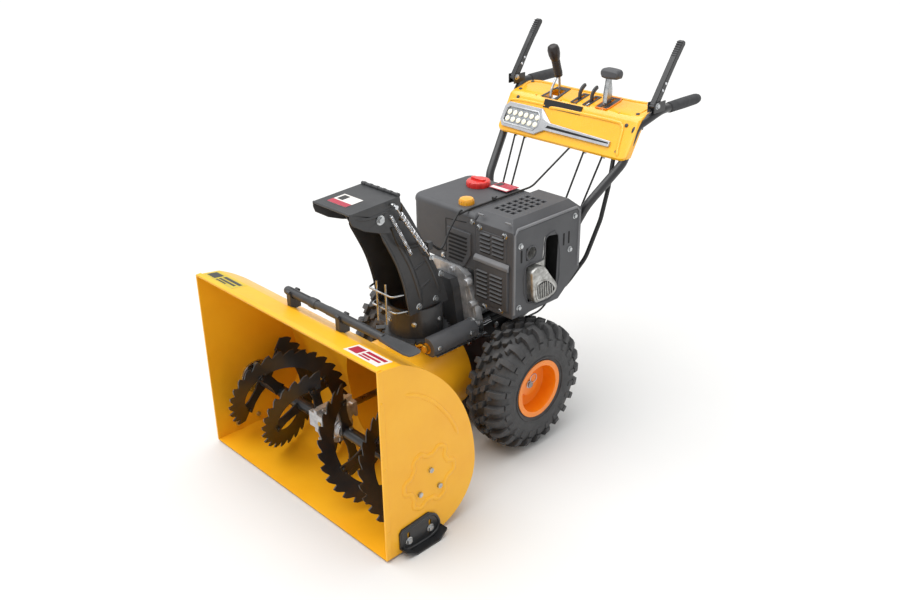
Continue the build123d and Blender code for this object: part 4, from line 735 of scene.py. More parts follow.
# ---------------------------------------------------------------- intake
@dataclass
class Intake:
    """Auger housing, impeller drum and what is bolted to them."""

    lip: float = 15.0
    bead: float = 5.5
    shoe: float = 5.0

    def build(self) -> None:
        """Dress the housing and add its folded edges, pressings, bolts and labels."""
        dress(("auger_housing", "impeller_housing"), YELLOW_POWDER_COAT)
        dress("impeller", YELLOW_POWDER_COAT, 0.8)
        dress("scraper_bar", BLACK_POWDER_COAT, 0.8)
        dress("skid_shoes", BLACK_POWDER_COAT, 1.2)
        dress(("auger_bearings", "frame_bolts"), ZINC_PLATE, 0.5)
        self._folded_edges()
        for side in (-1, 1):
            self._pressings(side)
            self._shoe_ribs(side)
        self._labels()

    def _folded_edges(self) -> None:
        """Return flanges round the mouth, with the dimples of their spot welds."""
        low, high = box("auger_housing")
        roof = surface_at("auger_housing", (0, low.y + 2, high.z + 40), (0, 0, -1)).z
        lips = Shape()
        for side in (-1, 1):
            x = side * high.x
            lips.block((x - side * 1.2, low.y, low.z + 2), (x + side * 2.2, low.y + self.lip, roof - 1))
            for share in (0.16, 0.5, 0.84):
                spot = (x + side * 1.8, low.y + self.lip / 2, low.z + (roof - low.z) * share)
                lips.lathe([(0, 4.5), (1.0, 3.6), (1.5, 1.6)], spot, (side, 0, 0), 20)
        lips.block((low.x + 1, low.y, roof - 1.5), (high.x - 1, low.y + self.lip, roof + 2.0))
        lips.block((low.x + 1, low.y, low.z - 0.5), (high.x - 1, low.y + self.lip, low.z + 2.5))
        lips.piece("intake_folded_edges", "frame", YELLOW_POWDER_COAT, bevel=1.0)

    def _pressings(self, side: int) -> None:
        """Raised star round the bearing and the long bead pressed into one side.

        Args:
            side: +1 for the machine's left.
        """
        low, high = box("auger_housing")
        centre = joint_at("auger_spin")
        x = side * high.x
        out = (side, 0, 0)
        star = []
        for i in range(72):
            angle = math.radians(i * 5)
            lobe = math.cos(6 * angle + math.radians(12))
            radius = 74 + 13 * max(-0.75, min(0.75, 1.5 * lobe))
            star.append((x, centre.y + radius * math.cos(angle), centre.z + 18 + radius * math.sin(angle)))
        pressing = Shape().bead(star, out, self.bead + 1.5, 3.2, closed=True)
        sweep = [(79, 446), (122, 426), (158, 399), (188, 366), (222, 318), (248, 262)]
        path = smooth_path([(x, low.y + y, z) for y, z in sweep], 8)
        pressing.bead(path, out, self.bead, 2.8)
        pressing.piece(f"side_pressing_{side_name(side)}", "frame", YELLOW_POWDER_COAT)

    def _shoe_ribs(self, side: int) -> None:
        """Raised rim of one skid shoe, with washers over its slots.

        Args:
            side: +1 for the machine's left.
        """
        low, _ = box("skid_shoes")
        face = side * (box("auger_housing")[1].x + self.shoe)
        outline = [(8, 24), (30, 8), (106, 8), (130, 26), (122, 58), (95, 74), (14, 68), (8, 60)]
        rim = [(face, low.y + y, low.z + z) for y, z in outline]
        shape = Shape().bead(smooth_path(rim, 5, closed=True), (side, 0, 0), 4.0, 3.0, closed=True)
        shape.piece(f"shoe_rim_{side_name(side)}", "frame", BLACK_POWDER_COAT)
        washers = Shape()
        for y in (low.y + 28, low.y + 100):
            washers.lathe([(0, 11), (1.6, 11), (1.8, 10.4)], (face, y, low.z + 34), (side, 0, 0), 28)
        washers.piece(f"shoe_washers_{side_name(side)}", "frame", ZINC_PLATE)

    def _labels(self) -> None:
        """Two plain labels on the roof, with blocks of colour and no lettering."""
        low, _ = box("auger_housing")
        for name, start, end, base, marks in (
            ("roof_label_right", -376, -236, YELLOW_VINYL, BLACK_VINYL),
            ("roof_label_left", 236, 356, WHITE_VINYL, RED_VINYL),
        ):
            front = surface_at("auger_housing", (start, low.y + 20, 700), (0, 0, -1))
            back = surface_at("auger_housing", (start, low.y + 68, 700), (0, 0, -1))
            slope = (back.z - front.z) / (back.y - front.y)

            def strip(x0: float, x1: float, y0: float, y1: float, lift: float) -> Shape:
                """Thin patch that lies on the roof."""
                z0 = front.z + (y0 - front.y) * slope + lift
                z1 = front.z + (y1 - front.y) * slope + lift
                outline = [(y0, z0), (y1, z1), (y1, z1 + 0.35), (y0, z0 + 0.35)]
                return Shape().prism(outline, "X", x0, x1)

            y0, y1 = low.y + 19, low.y + 67
            strip(start, end, y0, y1, 0.05).piece(name, "frame", base)
            width, depth = end - start, y1 - y0
            shares = (
                (0.05, 0.32, 0.18, 0.82),
                (0.38, 0.94, 0.62, 0.84),
                (0.38, 0.9, 0.34, 0.5),
                (0.38, 0.7, 0.14, 0.26),
            )
            for i, (left, right, near, far) in enumerate(shares):
                x0, x1 = start + width * left, start + width * right
                mark = strip(x0, x1, y0 + depth * near, y0 + depth * far, 0.4)
                mark.piece(f"{name}_mark_{i}", "frame", marks)


# ---------------------------------------------------------------- augers
@dataclass
class Auger:
    """One half of the rotor: two toothed ribbons on arms round a hub."""

    side: int
    reach: float = 148.0
    root: float = 92.0
    notch: float = 15.0
    pitch_share: float = 1.1
    plate: float = 4.0
    tooth: float = 13.0
    hub: float = 17.0
    arm: float = 5.0

    def build(self) -> None:
        """Make the ribbons, the hub with its arms and the shear bolt."""
        low, high = box(f"auger_{side_name(self.side)}")
        ends = sorted((low.x, high.x), key=abs)
        self.start, self.end = ends[0], ends[1]
        self.centre = joint_at("auger_spin")
        ribbons = Shape()
        for half_turn in (0, 180):
            self._ribbon(ribbons, half_turn)
        ribbons.piece(
            f"auger_ribbons_{side_name(self.side)}", "auger", BLACK_POWDER_COAT,
            replaces=[f"auger_{side_name(self.side)}"], bevel=0.6, smooth=30,
        )  # fmt: skip
        self._hub()

    def _spot(self, share: float, radius: float, half_turn: float, shift: float) -> Vector:
        """Point on a ribbon.

        Args:
            share: How far along the rotor it is, 0 to 1.
            radius: Distance from the shaft.
            half_turn: Start angle of the ribbon in degrees.
            shift: Offset along the shaft.

        Returns:
            The point.
        """
        turn = 360 / self.pitch_share * share
        angle = math.radians(90 * self.side + turn + half_turn)
        x = self.start + (self.end - self.start) * share + shift
        return Vector((x, self.centre.y + radius * math.cos(angle), self.centre.z + radius * math.sin(angle)))

    def _ribbon(self, shape: Shape, half_turn: float) -> None:
        """One ribbon with a saw-toothed rim.

        Args:
            shape: Shape that it is added to.
            half_turn: Start angle in degrees.
        """
        span = 360 / self.pitch_share
        teeth = round(span / self.tooth)
        shares = []
        for i in range(teeth):
            for part, depth in ((0.02, 0.0), (0.3, 0.12), (0.55, 0.45), (0.8, 0.85), (0.97, 1.0)):
                shares.append(((i + part) / teeth, self.reach - self.notch * depth))
        rings = []
        for share, rim in shares:
            side = self.plate / 2
            belly = (self.root + self.reach) / 2 - 6
            ring = [self._spot(share, r, half_turn, -side) for r in (self.root, belly, rim)]
            ring += [self._spot(share, r, half_turn, side) for r in (rim, belly, self.root)]
            rings.append(ring)
        shape.skin(rings)

    def _hub(self) -> None:
        """Hub tube, its arms out to both ribbons and the shear bolt."""
        side = self.side
        y, z = self.centre.y, self.centre.z
        shape = Shape()
        collars = [(0, 20), (10, 20), (11, self.hub)]
        length = abs(self.end - self.start)
        thick = Vector((self.arm / 2, 0, 0))
        shape.lathe(collars + [(length - 11, self.hub), (length - 10, 20), (length, 20)],
                    (self.start, y, z), (side, 0, 0), 36)  # fmt: skip
        for half_turn in (0, 180):
            for share in (0.03, 0.34, 0.66, 0.97):
                rim = self._spot(share, self.root + 9, half_turn, 0)
                foot = Vector((rim.x, y, z))
                out = (rim - foot).normalized()
                across = out.cross(Vector((1, 0, 0)))
                rings = []
                for along, wide in ((12, 19), (40, 13), (self.root - 22, 13), (self.root + 9, 20)):
                    spot = foot + out * along
                    wide_way = across * wide
                    rings.append([
                        spot + wide_way + thick, spot - wide_way + thick,
                        spot - wide_way - thick, spot + wide_way - thick,
                    ])  # fmt: skip
                shape.skin(rings)
                for lift in (-9, 9):
                    seat = foot + out * (self.root + 1) + across * lift + thick
                    shape.lathe([(0, 5.5), (3, 5.5), (4.2, 4.0)], seat, (1, 0, 0), 6)
        shape.piece(f"auger_hub_{side_name(side)}", "auger", BLACK_POWDER_COAT, bevel=0.7)


@dataclass
class Gearbox:
    """Worm gearbox between the augers, with its shafts."""

    def build(self) -> None:
        """Dress the case and the shafts and add ribs and a plug."""
        dress("gearbox_case", DIE_CAST_ALUMINIUM, 2.0)
        dress(("auger_shaft", "impeller_shaft"), GROUND_STEEL, 0.5)
        low, high = box("gearbox_case")
        centre = joint_at("auger_spin")
        ribs = Shape()
        for side in (-1, 1):
            face = side * 28
            for angle in range(20, 380, 40):
                out = Vector((0, math.cos(math.radians(angle)), math.sin(math.radians(angle))))
                start = Vector((face, centre.y, centre.z)) + out * 20
                ribs.rod(start, start + out * 20, 3.2, 1.8, 10)
            boss = [(0, 30), (4, 28), (5, 24), (13, 22), (14, 20)]
            ribs.lathe(boss, (side * 27, centre.y, centre.z), (side, 0, 0))
        ribs.piece("gearbox_ribs", "frame", DIE_CAST_ALUMINIUM, "gear_casting", bevel=0.8)
        plug = Shape().bolt((0, centre.y, high.z), (0, 0, 1), 5)
        plug.bolt((16, low.y + 4, centre.z + 34), (0, -1, 0), 4)
        plug.piece("gearbox_filler_plug", "frame", MACHINED_BRASS)


# ---------------------------------------------------------------- chute
@dataclass
class Chute:
    """Turning chute with its tilting hood, springs and drive."""

    wall: float = 65.0

    def build(self) -> None:
        """Dress the chute's solids and add its ribs, bolts, springs and cable."""
        dress(("chute", "chute_hood"), BLACK_POLYPROPYLENE, 1.4)
        dress("chute_ring", BLACK_POLYPROPYLENE, 0.6)
        dress("chute_keepers", BLACK_POLYPROPYLENE, 1.5)
        dress("worm_cover", GREY_ABS, 1.5)
        dress("worm_bracket", ZINC_PLATE, 0.8)
        dress("hood_pivots", ZINC_PLATE, 0.7)
        dress("chute_guard", ZINC_PLATE)
        self._ribs()
        self._fasteners()
        self._hood_details()
        self._springs()
        self._worm()
        self._deflector_cable()

    def _ribs(self) -> None:
        """Beads moulded along both sides and rolled front edges."""
        front = box("auger_housing")[0].y
        foot = joint_at("chute_turn").z + 95
        edge = [(376, 6), (362, 84), (340, 155), (310, 218), (290, 256)]
        bead = [(424, 20), (406, 84), (386, 140), (356, 200), (336, 236)]
        back = [(492, 30), (472, 84), (440, 150), (404, 214)]
        shape = Shape()
        for side in (-1, 1):
            for line, size, height in ((edge, 4.6, 3.4), (bead, 7.5, 3.6), (back, 6.0, 3.0)):
                path = [(side * self.wall, front + y, foot + z) for y, z in line]
                shape.bead(smooth_path(path, 6), (side, 0, 0), size, height)
            for y, z in ((398, 60), (380, 120)):
                spots = [(side * self.wall, front + y + d, foot + z + d * 0.35) for d in (8, 34, 60)]
                shape.bead(smooth_path(spots, 4), (side, 0, 0), 5.0, 2.4)
        shape.piece("chute_ribs", "chute", BLACK_POLYPROPYLENE)

    def _fasteners(self) -> None:
        """Carriage bolts at the foot of the chute and through the ring."""
        centre = joint_at("chute_turn")
        shape = Shape()
        for side in (-1, 1):
            for y, z in ((-44, 108), (18, 112), (40, 180)):
                shape.bolt((side * self.wall, centre.y + y, centre.z + z), (side, 0, 0), 4.2)
        for angle in range(15, 375, 60):
            out = Vector((math.cos(math.radians(angle)), math.sin(math.radians(angle)), 0))
            shape.bolt(centre + out * 78 + Vector((0, 0, 52)), out, 3.2)
        shape.piece("chute_bolts", "chute", ZINC_PLATE)

    def _hood_details(self) -> None:
        """Rear rib, side beads, hand tab and plain label of the hood."""
        low, high = box("chute_hood")
        shape = Shape()
        shape.rod((low.x + 3, high.y - 6, high.z + 2.5), (high.x - 3, high.y - 6, high.z + 2.5), 4.5)
        for x in range(int(low.x) + 14, int(high.x) - 4, 26):
            shape.lathe([(0, 5.6), (8, 5.6)], (x - 4, high.y - 6, high.z + 2.5), (1, 0, 0), 20)
        for side in (-1, 1):
            x = side * high.x
            path = [(x, low.y + 16, high.z - 24), (x, low.y + 70, high.z - 34), (x, high.y - 20, high.z - 22)]
            shape.bead(smooth_path(path, 6), (side, 0, 0), 4.0, 2.4)
        lip = [(x, low.y + 2, high.z - 10) for x in (low.x + 2, 0, high.x - 2)]
        shape.pipe(smooth_path(lip, 4), 3.4, 10)
        shape.piece("hood_ribs", "hood", BLACK_POLYPROPYLENE, bevel=0.4)
        slope = 8 / 163

        def patch(x0: float, x1: float, y0: float, y1: float, lift: float) -> Shape:
            """Thin patch that lies on the hood's top."""
            z0 = high.z - 8 + (y0 - low.y) * slope + lift
            z1 = high.z - 8 + (y1 - low.y) * slope + lift
            return Shape().prism([(y0, z0), (y1, z1), (y1, z1 + 0.4), (y0, z0 + 0.4)], "X", x0, x1)

        patch(-48, 26, low.y + 26, low.y + 84, 0.3).piece("hood_label", "hood", WHITE_VINYL)
        patch(-48, 26, low.y + 26, low.y + 46, 0.8).piece("hood_label_band", "hood", RED_VINYL)
        patch(-40, -18, low.y + 52, low.y + 78, 0.8).piece("hood_label_mark", "hood", BLACK_VINYL)

    def _springs(self) -> None:
        """Two wire springs that pull the hood down, from the chute to the hood."""
        low, high = box("deflector_spring")
        x = (low.x + high.x) / 2
        top = Vector((x, low.y + 6, high.z - 6))
        foot = Vector((x, high.y - 6, low.z + 6))
        reach = (foot - top).normalized()
        shape = Shape().pipe(coil(top + reach * 26, foot - reach * 30, 5.6, 30), 1.25, 7)
        shape.pipe([top, top + reach * 27], 1.5, 8)
        shape.pipe([foot - reach * 31, foot], 1.5, 8)
        shape.lathe([(-4, 5.5), (4, 5.5)], top, (1, 0, 0), 20)
        second = Vector((x - 15, top.y - 6, top.z - 26)), Vector((x - 15, top.y + 58, top.z - 150))
        shape.pipe(coil(second[0], second[1], 4.4, 26), 1.1, 7)
        spring = shape.piece(
            "hood_springs", None, CHROMED_WIRE, replaces=["deflector_spring"]
        )
        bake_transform(spring)
        pins = Shape().rod((self.wall, foot.y, foot.z), (x + 4, foot.y, foot.z), 3.2)
        pins.bolt((x + 4, foot.y, foot.z), (1, 0, 0), 3.4)
        pins.piece("spring_foot_pin", "chute", ZINC_PLATE)

    def _worm(self) -> None:
        """Helical worm that turns the ring, with the cover's brass bolt and rear eye."""
        low, high = box("chute_worm")
        dress("chute_worm", BLACK_POWDER_COAT, 0.5)
        x, z = (low.x + high.x) / 2, (low.z + high.z) / 2
        y = joint_at("chute_turn").y
        wire = coil((x, y - 27, z), (x, y + 27, z), 13.2, 4.5, 20)
        Shape().pipe(wire, 2.2, 8).piece("chute_worm_thread", "chute_worm", BLACK_POWDER_COAT)
        cover_low, cover_high = box("worm_cover")
        brass = Shape().bolt((x, cover_low.y, z), (0, -1, 0), 7)
        brass.piece("worm_cover_bolt", "frame", MACHINED_BRASS)
        ring = [
            (x + 13 * math.cos(a), cover_high.y + 4, z + 15 + 13 * math.sin(a))
            for a in (math.radians(i * 20) for i in range(18))
        ]
        eye = Shape().pipe(ring, 2.6, 10, closed=True)
        eye.block((x - 12, cover_high.y - 14, z + 24), (x + 14, cover_high.y + 8, z + 26.5))
        eye.bolt((x + 6, cover_high.y - 4, z + 26.5), (0, 0, 1), 3)
        eye.piece("worm_shaft_eye", "frame", ZINC_PLATE)
        clamp = Shape()
        for at in (cover_low.y + 20, cover_high.y - 30):
            clamp.bolt((cover_high.x, at, z + 4), (1, 0, 0), 3)
        clamp.piece("worm_cover_screws", "frame", ZINC_PLATE)

    def _deflector_cable(self) -> None:
        """Cable that tilts the hood: from the chute's side to the clip on the tank."""
        pivot = joint_at("hood_tilt")
        turn = joint_at("chute_turn")
        ends = box("control_cables")
        start = Vector((self.wall + 9, turn.y + 8, pivot.z - 118))
        clip = Vector((60, ends[0].y, box("engine_shroud")[1].z - 2))
        path = [
            Vector((self.wall + 12, pivot.y + 34, pivot.z - 30)),
            Vector((self.wall + 12, pivot.y + 66, pivot.z - 92)),
            start + Vector((2, -18, 4)),
            start + Vector((0, 26, -22)),
            Vector((64, clip.y - 36, clip.z - 34)),
            clip,
            clip + Vector((0, 14, 4)),
        ]
        cable = Shape().pipe(smooth_path(path, 10), 3.0, 10)
        piece = cable.piece("deflector_cable", None, CABLE_SHEATH)
        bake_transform(piece)
        low = (self.wall, start.y - 26, start.z - 10)
        clips = Shape().block(low, (self.wall + 16, start.y - 10, start.z + 12))
        clips.piece("deflector_cable_clip", "chute", BLACK_POLYPROPYLENE, bevel=1.5)


# ---------------------------------------------------------------- wheels and drive
@dataclass
class Wheel:
    """One wheel: lugged tyre, painted rim, valve and locking pin."""

    side: int
    radius: float = 190.0
    half: float = 64.0
    lugs: int = 24

    def build(self) -> None:
        """Make the tyre with its lugs and the small fittings."""
        _, high = box("tyres")
        self.x = self.side * (high.x - self.half)
        self.centre = joint_at("axle_spin")
        self._tyre()
        self._fittings()

    def _tyre(self) -> None:
        """Carcass turned about the axle, with two rows of tread lugs and shoulder lugs."""
        origin = Vector((self.x, self.centre.y, self.centre.z))
        h = self.half
        outer = [
            (-h + 8, 76), (-h + 7, 88), (-h + 2, 96), (-h, 108), (-h, 128), (-h + 3, 146),
            (-h + 10, 160), (-h + 24, 169), (-h + 44, 173),
        ]  # fmt: skip
        outer += [(-a, r) for a, r in reversed(outer)]
        inner = [(h - 16, 80), (h - 18, 120), (h - 30, 150)]
        section = outer + inner + [(-a, r) for a, r in reversed(inner)]
        rings = []
        for step in range(96):
            a = math.radians(step * 3.75)
            rings.append([origin + Vector((x, r * math.cos(a), r * math.sin(a))) for x, r in section])
        name = side_name(self.side)
        replaced = ["tyres"] if self.side > 0 else []
        carcass = Shape().skin(rings, closed=True)
        for edge in (-1, 1):
            for radius, size in ((97, 2.2), (112, 1.4), (118, 1.2)):
                carcass.pipe(self._ring(origin, edge * (h - 1.0), radius), size, 8, closed=True)
        carcass.piece(f"tyre_carcass_{name}", "wheels", TYRE_RUBBER, replaces=replaced, smooth=60)
        tread = Shape()
        for i in range(self.lugs):
            angle = 360 / self.lugs * i
            for edge in (-1, 1):
                self._lug(tread, origin, edge, angle + (0 if edge > 0 else 180 / self.lugs))
        tread.piece(f"tyre_tread_{name}", "wheels", TYRE_RUBBER, bevel=1.4, smooth=50)

    def _ring(self, origin: Vector, along: float, radius: float) -> list[Vector]:
        """Circle of points about the axle."""
        angles = (math.radians(i * 5) for i in range(72))
        return [origin + Vector((along, radius * math.cos(a), radius * math.sin(a))) for a in angles]

    def _lug(self, shape: Shape, origin: Vector, edge: int, turn: float) -> None:
        """L-shaped lug on the crown, with its leg down the shoulder, and a square block inside it.

        Args:
            shape: Shape that it is added to.
            origin: Middle of the wheel.
            edge: Which half of the tread.
            turn: Angle of the lug in degrees.
        """
        top = self.radius
        block = [(62.5, 127, 66.4, 128), (60, 145, 66.0, 147)]
        self._strip(shape, origin, edge, turn, block, (4.0, 4.0), (0, 0))
        leg = [(59, 150, 65.5, 152), (54, 160, 62, 168), (46, 166, 53, 181), (30, 170, 31, top - 1.5)]
        self._strip(shape, origin, edge, turn, leg, (3.9, 3.8, 3.4, 3.0), (0, 0, 0, 0))
        foot = [(35, 170, 35, top - 2.5), (24, 170, 24, top - 1)]
        self._strip(shape, origin, edge, turn + 2.2, foot, (5.4, 5.0), (0, 0))
        crown = [(18, 171, 18, top - 0.6), (4, 172, 4, top)]
        self._strip(shape, origin, edge, turn - 3.4, crown, (3.4, 3.2), (0, 2.4))

    def _strip(
        self,
        shape: Shape,
        origin: Vector,
        edge: int,
        turn: float,
        stations: Sequence[tuple[float, float, float, float]],
        widths: Sequence[float],
        leans: Sequence[float],
    ) -> None:
        """One raised bar of tread, from the shoulder in to the crown.

        Args:
            shape: Shape that it is added to.
            origin: Middle of the wheel.
            edge: Which half of the tread.
            turn: Angle of the bar in degrees.
            stations: Foot (offset, radius) and top (offset, radius) along the bar.
            widths: Half width in degrees at each station.
            leans: Extra angle in degrees at each station.
        """
        rings = []
        for (foot_x, foot_r, top_x, top_r), wide, lean in zip(stations, widths, leans):
            ring = []
            for x, radius, share in ((foot_x, foot_r, 1.0), (top_x, top_r, 0.78)):
                for way in (-1, 1) if share == 1.0 else (1, -1):
                    angle = math.radians(turn + lean * edge + way * wide * share)
                    spot = Vector((edge * x, radius * math.cos(angle), radius * math.sin(angle)))
                    ring.append(origin + spot)
            rings.append(ring)
        shape.skin(rings)

    def _fittings(self) -> None:
        """Valve, rim bolts, hub cap and the locking pin with its ring."""
        side, y, z = self.side, self.centre.y, self.centre.z
        name = side_name(side)
        rim = Shape()
        for angle in range(0, 360, 90):
            a = math.radians(angle + 45)
            seat = (self.x + side * 9, y + 56 * math.cos(a), z + 56 * math.sin(a))
            rim.lathe([(0, 9), (0.8, 8.5), (1.2, 7)], seat, (side, 0, 0), 24)
        rim.lathe([(0, 40), (2, 39), (3, 35)], (self.x + side * 8, y, z), (side, 0, 0), 48)
        rim.piece(f"rim_dimples_{name}", "wheels", ORANGE_POWDER_COAT)
        stem = [(0, 4), (4, 4), (6, 3), (18, 3), (19, 2.4)]
        valve = Shape().lathe(stem, (self.x + side * 10, y - 30, z + 52), (side, -0.2, 0.35), 16)
        valve.piece(f"tyre_valve_{name}", "wheels", DRIVE_RUBBER)
        pin = Shape()
        pin_x = self.x + side * 24
        pin.lathe([(0, 12), (2, 12), (3, 9.4)], (self.x + side * 22, y, z), (side, 0, 0), 32)
        ring = [
            (pin_x + 4 + 9 * side, y + 13 * math.cos(a), z + 26 + 13 * math.sin(a))
            for a in (math.radians(i * 18) for i in range(20))
        ]
        pin.pipe(ring, 1.3, 8, closed=True)
        pin.rod((pin_x + 4 + 9 * side, y, z + 13), (pin_x - side * 4, y, z + 13), 1.8)
        pin.piece(f"wheel_locking_pin_{name}", "wheels", ZINC_PLATE)


@dataclass
class Drive:
    """Chassis with the friction drive inside it."""

    def build(self) -> None:
        """Dress the chassis, axle and drive, and add flanges and bolts."""
        dress(("chassis_frame", "bottom_cover"), BLACK_POWDER_COAT, 1.5)
        dress("shaft_bearings", ZINC_PLATE, 0.6)
        dress(("drive_axle", "drive_disc", "hex_shaft", "drive_chain"), GROUND_STEEL, 0.5)
        dress(("friction_wheel", "drive_belts"), DRIVE_RUBBER, 0.5)
        dress("wheel_rims", ORANGE_POWDER_COAT, 1.2)
        low, high = box("chassis_frame")
        bolts = Shape()
        for side in (-1, 1):
            face = side * high.x
            for y, z in ((18, 40), (18, 150), (18, 250), (236, 60), (236, 160), (236, 262), (130, 268)):
                bolts.bolt((face, low.y + y, low.z + z), (side, 0, 0), 3.8)
        for x, y in ((-86, 24), (86, 24), (-86, 230), (86, 230), (0, 236)):
            bolts.bolt((x, low.y + y, box("bottom_cover")[0].z + 1 + y * 0.118), (0, 0, -1), 3.2)
        bolts.piece("chassis_bolts", "frame", ZINC_PLATE)
        ribs = Shape()
        for side in (-1, 1):
            path = [(70, 250), (110, 236), (160, 236), (205, 222), (212, 150), (196, 90)]
            spots = [(side * high.x, low.y + y, low.z + z) for y, z in path]
            ribs.bead(smooth_path(spots, 6), (side, 0, 0), 5.0, 2.4)
        flange = [(low.x - 0.5, high.y - 1), (high.x + 0.5, high.y - 1)]
        for z in (low.z + 34, high.z - 8):
            ribs.rod((flange[0][0], flange[0][1], z), (flange[1][0], flange[1][1], z), 3.2, sides=12)
        ribs.piece("chassis_pressings", "frame", BLACK_POWDER_COAT)


# ---------------------------------------------------------------- engine
@dataclass
class Engine:
    """Engine with its tank shroud, muffler cover, caps and recoil starter."""

    louvre: float = 4.0

    def build(self) -> None:
        """Dress the engine's solids and add what is moulded or screwed on."""
        dress(("engine_block", "crankshaft"), DIE_CAST_ALUMINIUM, 1.2)
        dress("engine_shroud", GREY_ABS, 5.0)
        dress("muffler_cover", GREY_ABS, 2.0)
        dress("belt_cover", BLACK_POLYPROPYLENE, 4.0)
        dress("recoil_starter", BLACK_POLYPROPYLENE, 2.0)
        dress("recoil_handle", BLACK_POLYPROPYLENE, 3.0)
        dress("muffler", EXHAUST_STEEL, 2.0)
        self._block_details()
        self._shroud_details()
        self._fuel_cap()
        self._oil_cap()
        self._cover_front()
        self._cover_side()
        self._outlet()
        self._recoil()

    def _block_details(self) -> None:
        """Head bolts, a plug lead, a fan grille and ribs on the casting."""
        low, high = box("engine_block")
        shape = Shape()
        for y in (-30, 12, 54):
            for z in (low.z + 66, high.z - 14):
                shape.bolt((high.x, y, z), (1, 0, 0), 4)
        for x in (low.x + 18, 10, 60):
            shape.bolt((x, low.y, low.z + 18), (0, -1, 0), 4)
            shape.bolt((x, high.y, low.z + 18), (0, 1, 0), 4)
        shape.piece("engine_bolts", "frame", ZINC_PLATE)
        face = [
            (-94, 332), (-94, 470), (-70, 504), (40, 504), (72, 486), (84, 452), (104, 410),
            (118, 352), (112, 332),
        ]  # fmt: skip
        plate = Shape().prism(face, "Y", low.y - 16, low.y + 6)
        bosses = (
            (78, 470, 12), (96, 408, 11), (108, 350, 12), (-82, 470, 12), (-84, 350, 12), (20, 494, 10),
        )  # fmt: skip
        for x, z, r in bosses:
            plate.lathe([(0, r), (14, r - 1), (18, r - 3)], (x, low.y - 8, z), (0, -1, 0), 24)
        ridges = (
            ((78, 470), (96, 408)), ((96, 408), (108, 350)), ((70, 440), (84, 360)), ((62, 492), (78, 470)),
        )  # fmt: skip
        for start, end in ridges:
            spots = [(a, low.y - 16, b) for a, b in (start, end)]
            plate.bead(spots, (0, -1, 0), 5.0, 9.0)
        plate.piece("engine_front_casting", "frame", DIE_CAST_ALUMINIUM, "engine_casting", bevel=2.0)
        ribs = Shape()
        for x in range(int(low.x) + 6, 90, 16):
            ribs.block((x, low.y - 4, low.z + 12), (x + 3, low.y + 0.5, high.z - 40))
        for z in range(int(low.z) + 24, int(high.z) - 12, 14):
            ribs.block((low.x - 5, low.y + 20, z), (low.x + 0.5, high.y - 24, z + 3))
        ribs.piece("engine_cast_ribs", "frame", DIE_CAST_ALUMINIUM, "engine_casting", bevel=0.8)
        lead = [(136, -26, 486), (150, -44, 490), (118, -66, 500), (70, -78, 506)]
        Shape().pipe(smooth_path(lead, 8), 3.6, 10).piece("plug_lead", "frame", CABLE_SHEATH)

    def _shroud_details(self) -> None:
        """Slanted louvre panel, seam, labels and the tied cable on the tank's top."""
        low, high = box("engine_shroud")
        front = low.y
        panel = Shape()
        outline = [(-16, 612), (80, 612), (80, 548), (54, 506), (-16, 506)]
        panel.prism(outline, "Y", front - 5, front + 2)
        panel.piece("shroud_louvre_panel", "frame", GREY_ABS, bevel=2.0)
        # Near-black blocks in the louvre panel's slots: painted shade in the openings.
        slots = Shape()
        for i in range(7):
            z = 522 + i * 12
            right = 72 if z > 552 else 46 + (z - 506) * 0.55
            slots.prism([(-8, z - 3.4), (right - 8, z - 3.4), (right - 4, z + 2.4), (-4, z + 2.4)], "Y",
                        front - 5.9, front - 4)  # fmt: skip
        slots.piece("shroud_louvre_slot_shade", "frame", SHADE_AND_LINE_BLACK)
        seam = Shape()
        y, z = front + 0.4, low.z + 26
        seam.rod((low.x + 6, y, z), (-22, y, z), 1.6, sides=8)
        seam.pipe([(-22, y, z), (-22, y, high.z - 46), (60, y, high.z - 38)], 1.6, 8)
        seam.piece("shroud_seam", "frame", SHADE_AND_LINE_BLACK)
        screws = Shape()
        for x, z in ((low.x + 18, low.z + 12), (-34, low.z + 12), (84, high.z - 30)):
            spot = surface_at("engine_shroud", (x, front - 60, z), (0, 1, 0))
            screws.bolt(spot, (0, -1, 0), 3.6)
        screws.piece("shroud_screws", "frame", ZINC_PLATE)
        top = high.z
        for name, x0, x1, y0, y1, finish, lift in (
            ("tank_label", -30, 42, 92, 148, RED_VINYL, 0.1),
            ("tank_label_band", -26, 38, 96, 110, WHITE_VINYL, 0.5),
            ("tank_label_mark", -26, -8, 116, 142, BLACK_VINYL, 0.5),
        ):
            Shape().block((x0, y0, top + lift), (x1, y1, top + lift + 0.4)).piece(name, "frame", finish)
        side = surface_at("engine_shroud", (low.x - 60, 30, low.z + 60), (1, 0, 0)).x
        Shape().block((side - 0.5, 0, low.z + 40), (side + 0.1, 70, low.z + 92)).piece(
            "tank_side_label", "frame", YELLOW_VINYL
        )
        tie = Shape().block((54, 18, top - 0.5), (66, 26, top + 9))
        tie.block((58, 26, top + 4), (62, 34, top + 9))
        tie.piece("tank_cable_tie", "frame", BLACK_POLYPROPYLENE, bevel=1.5)

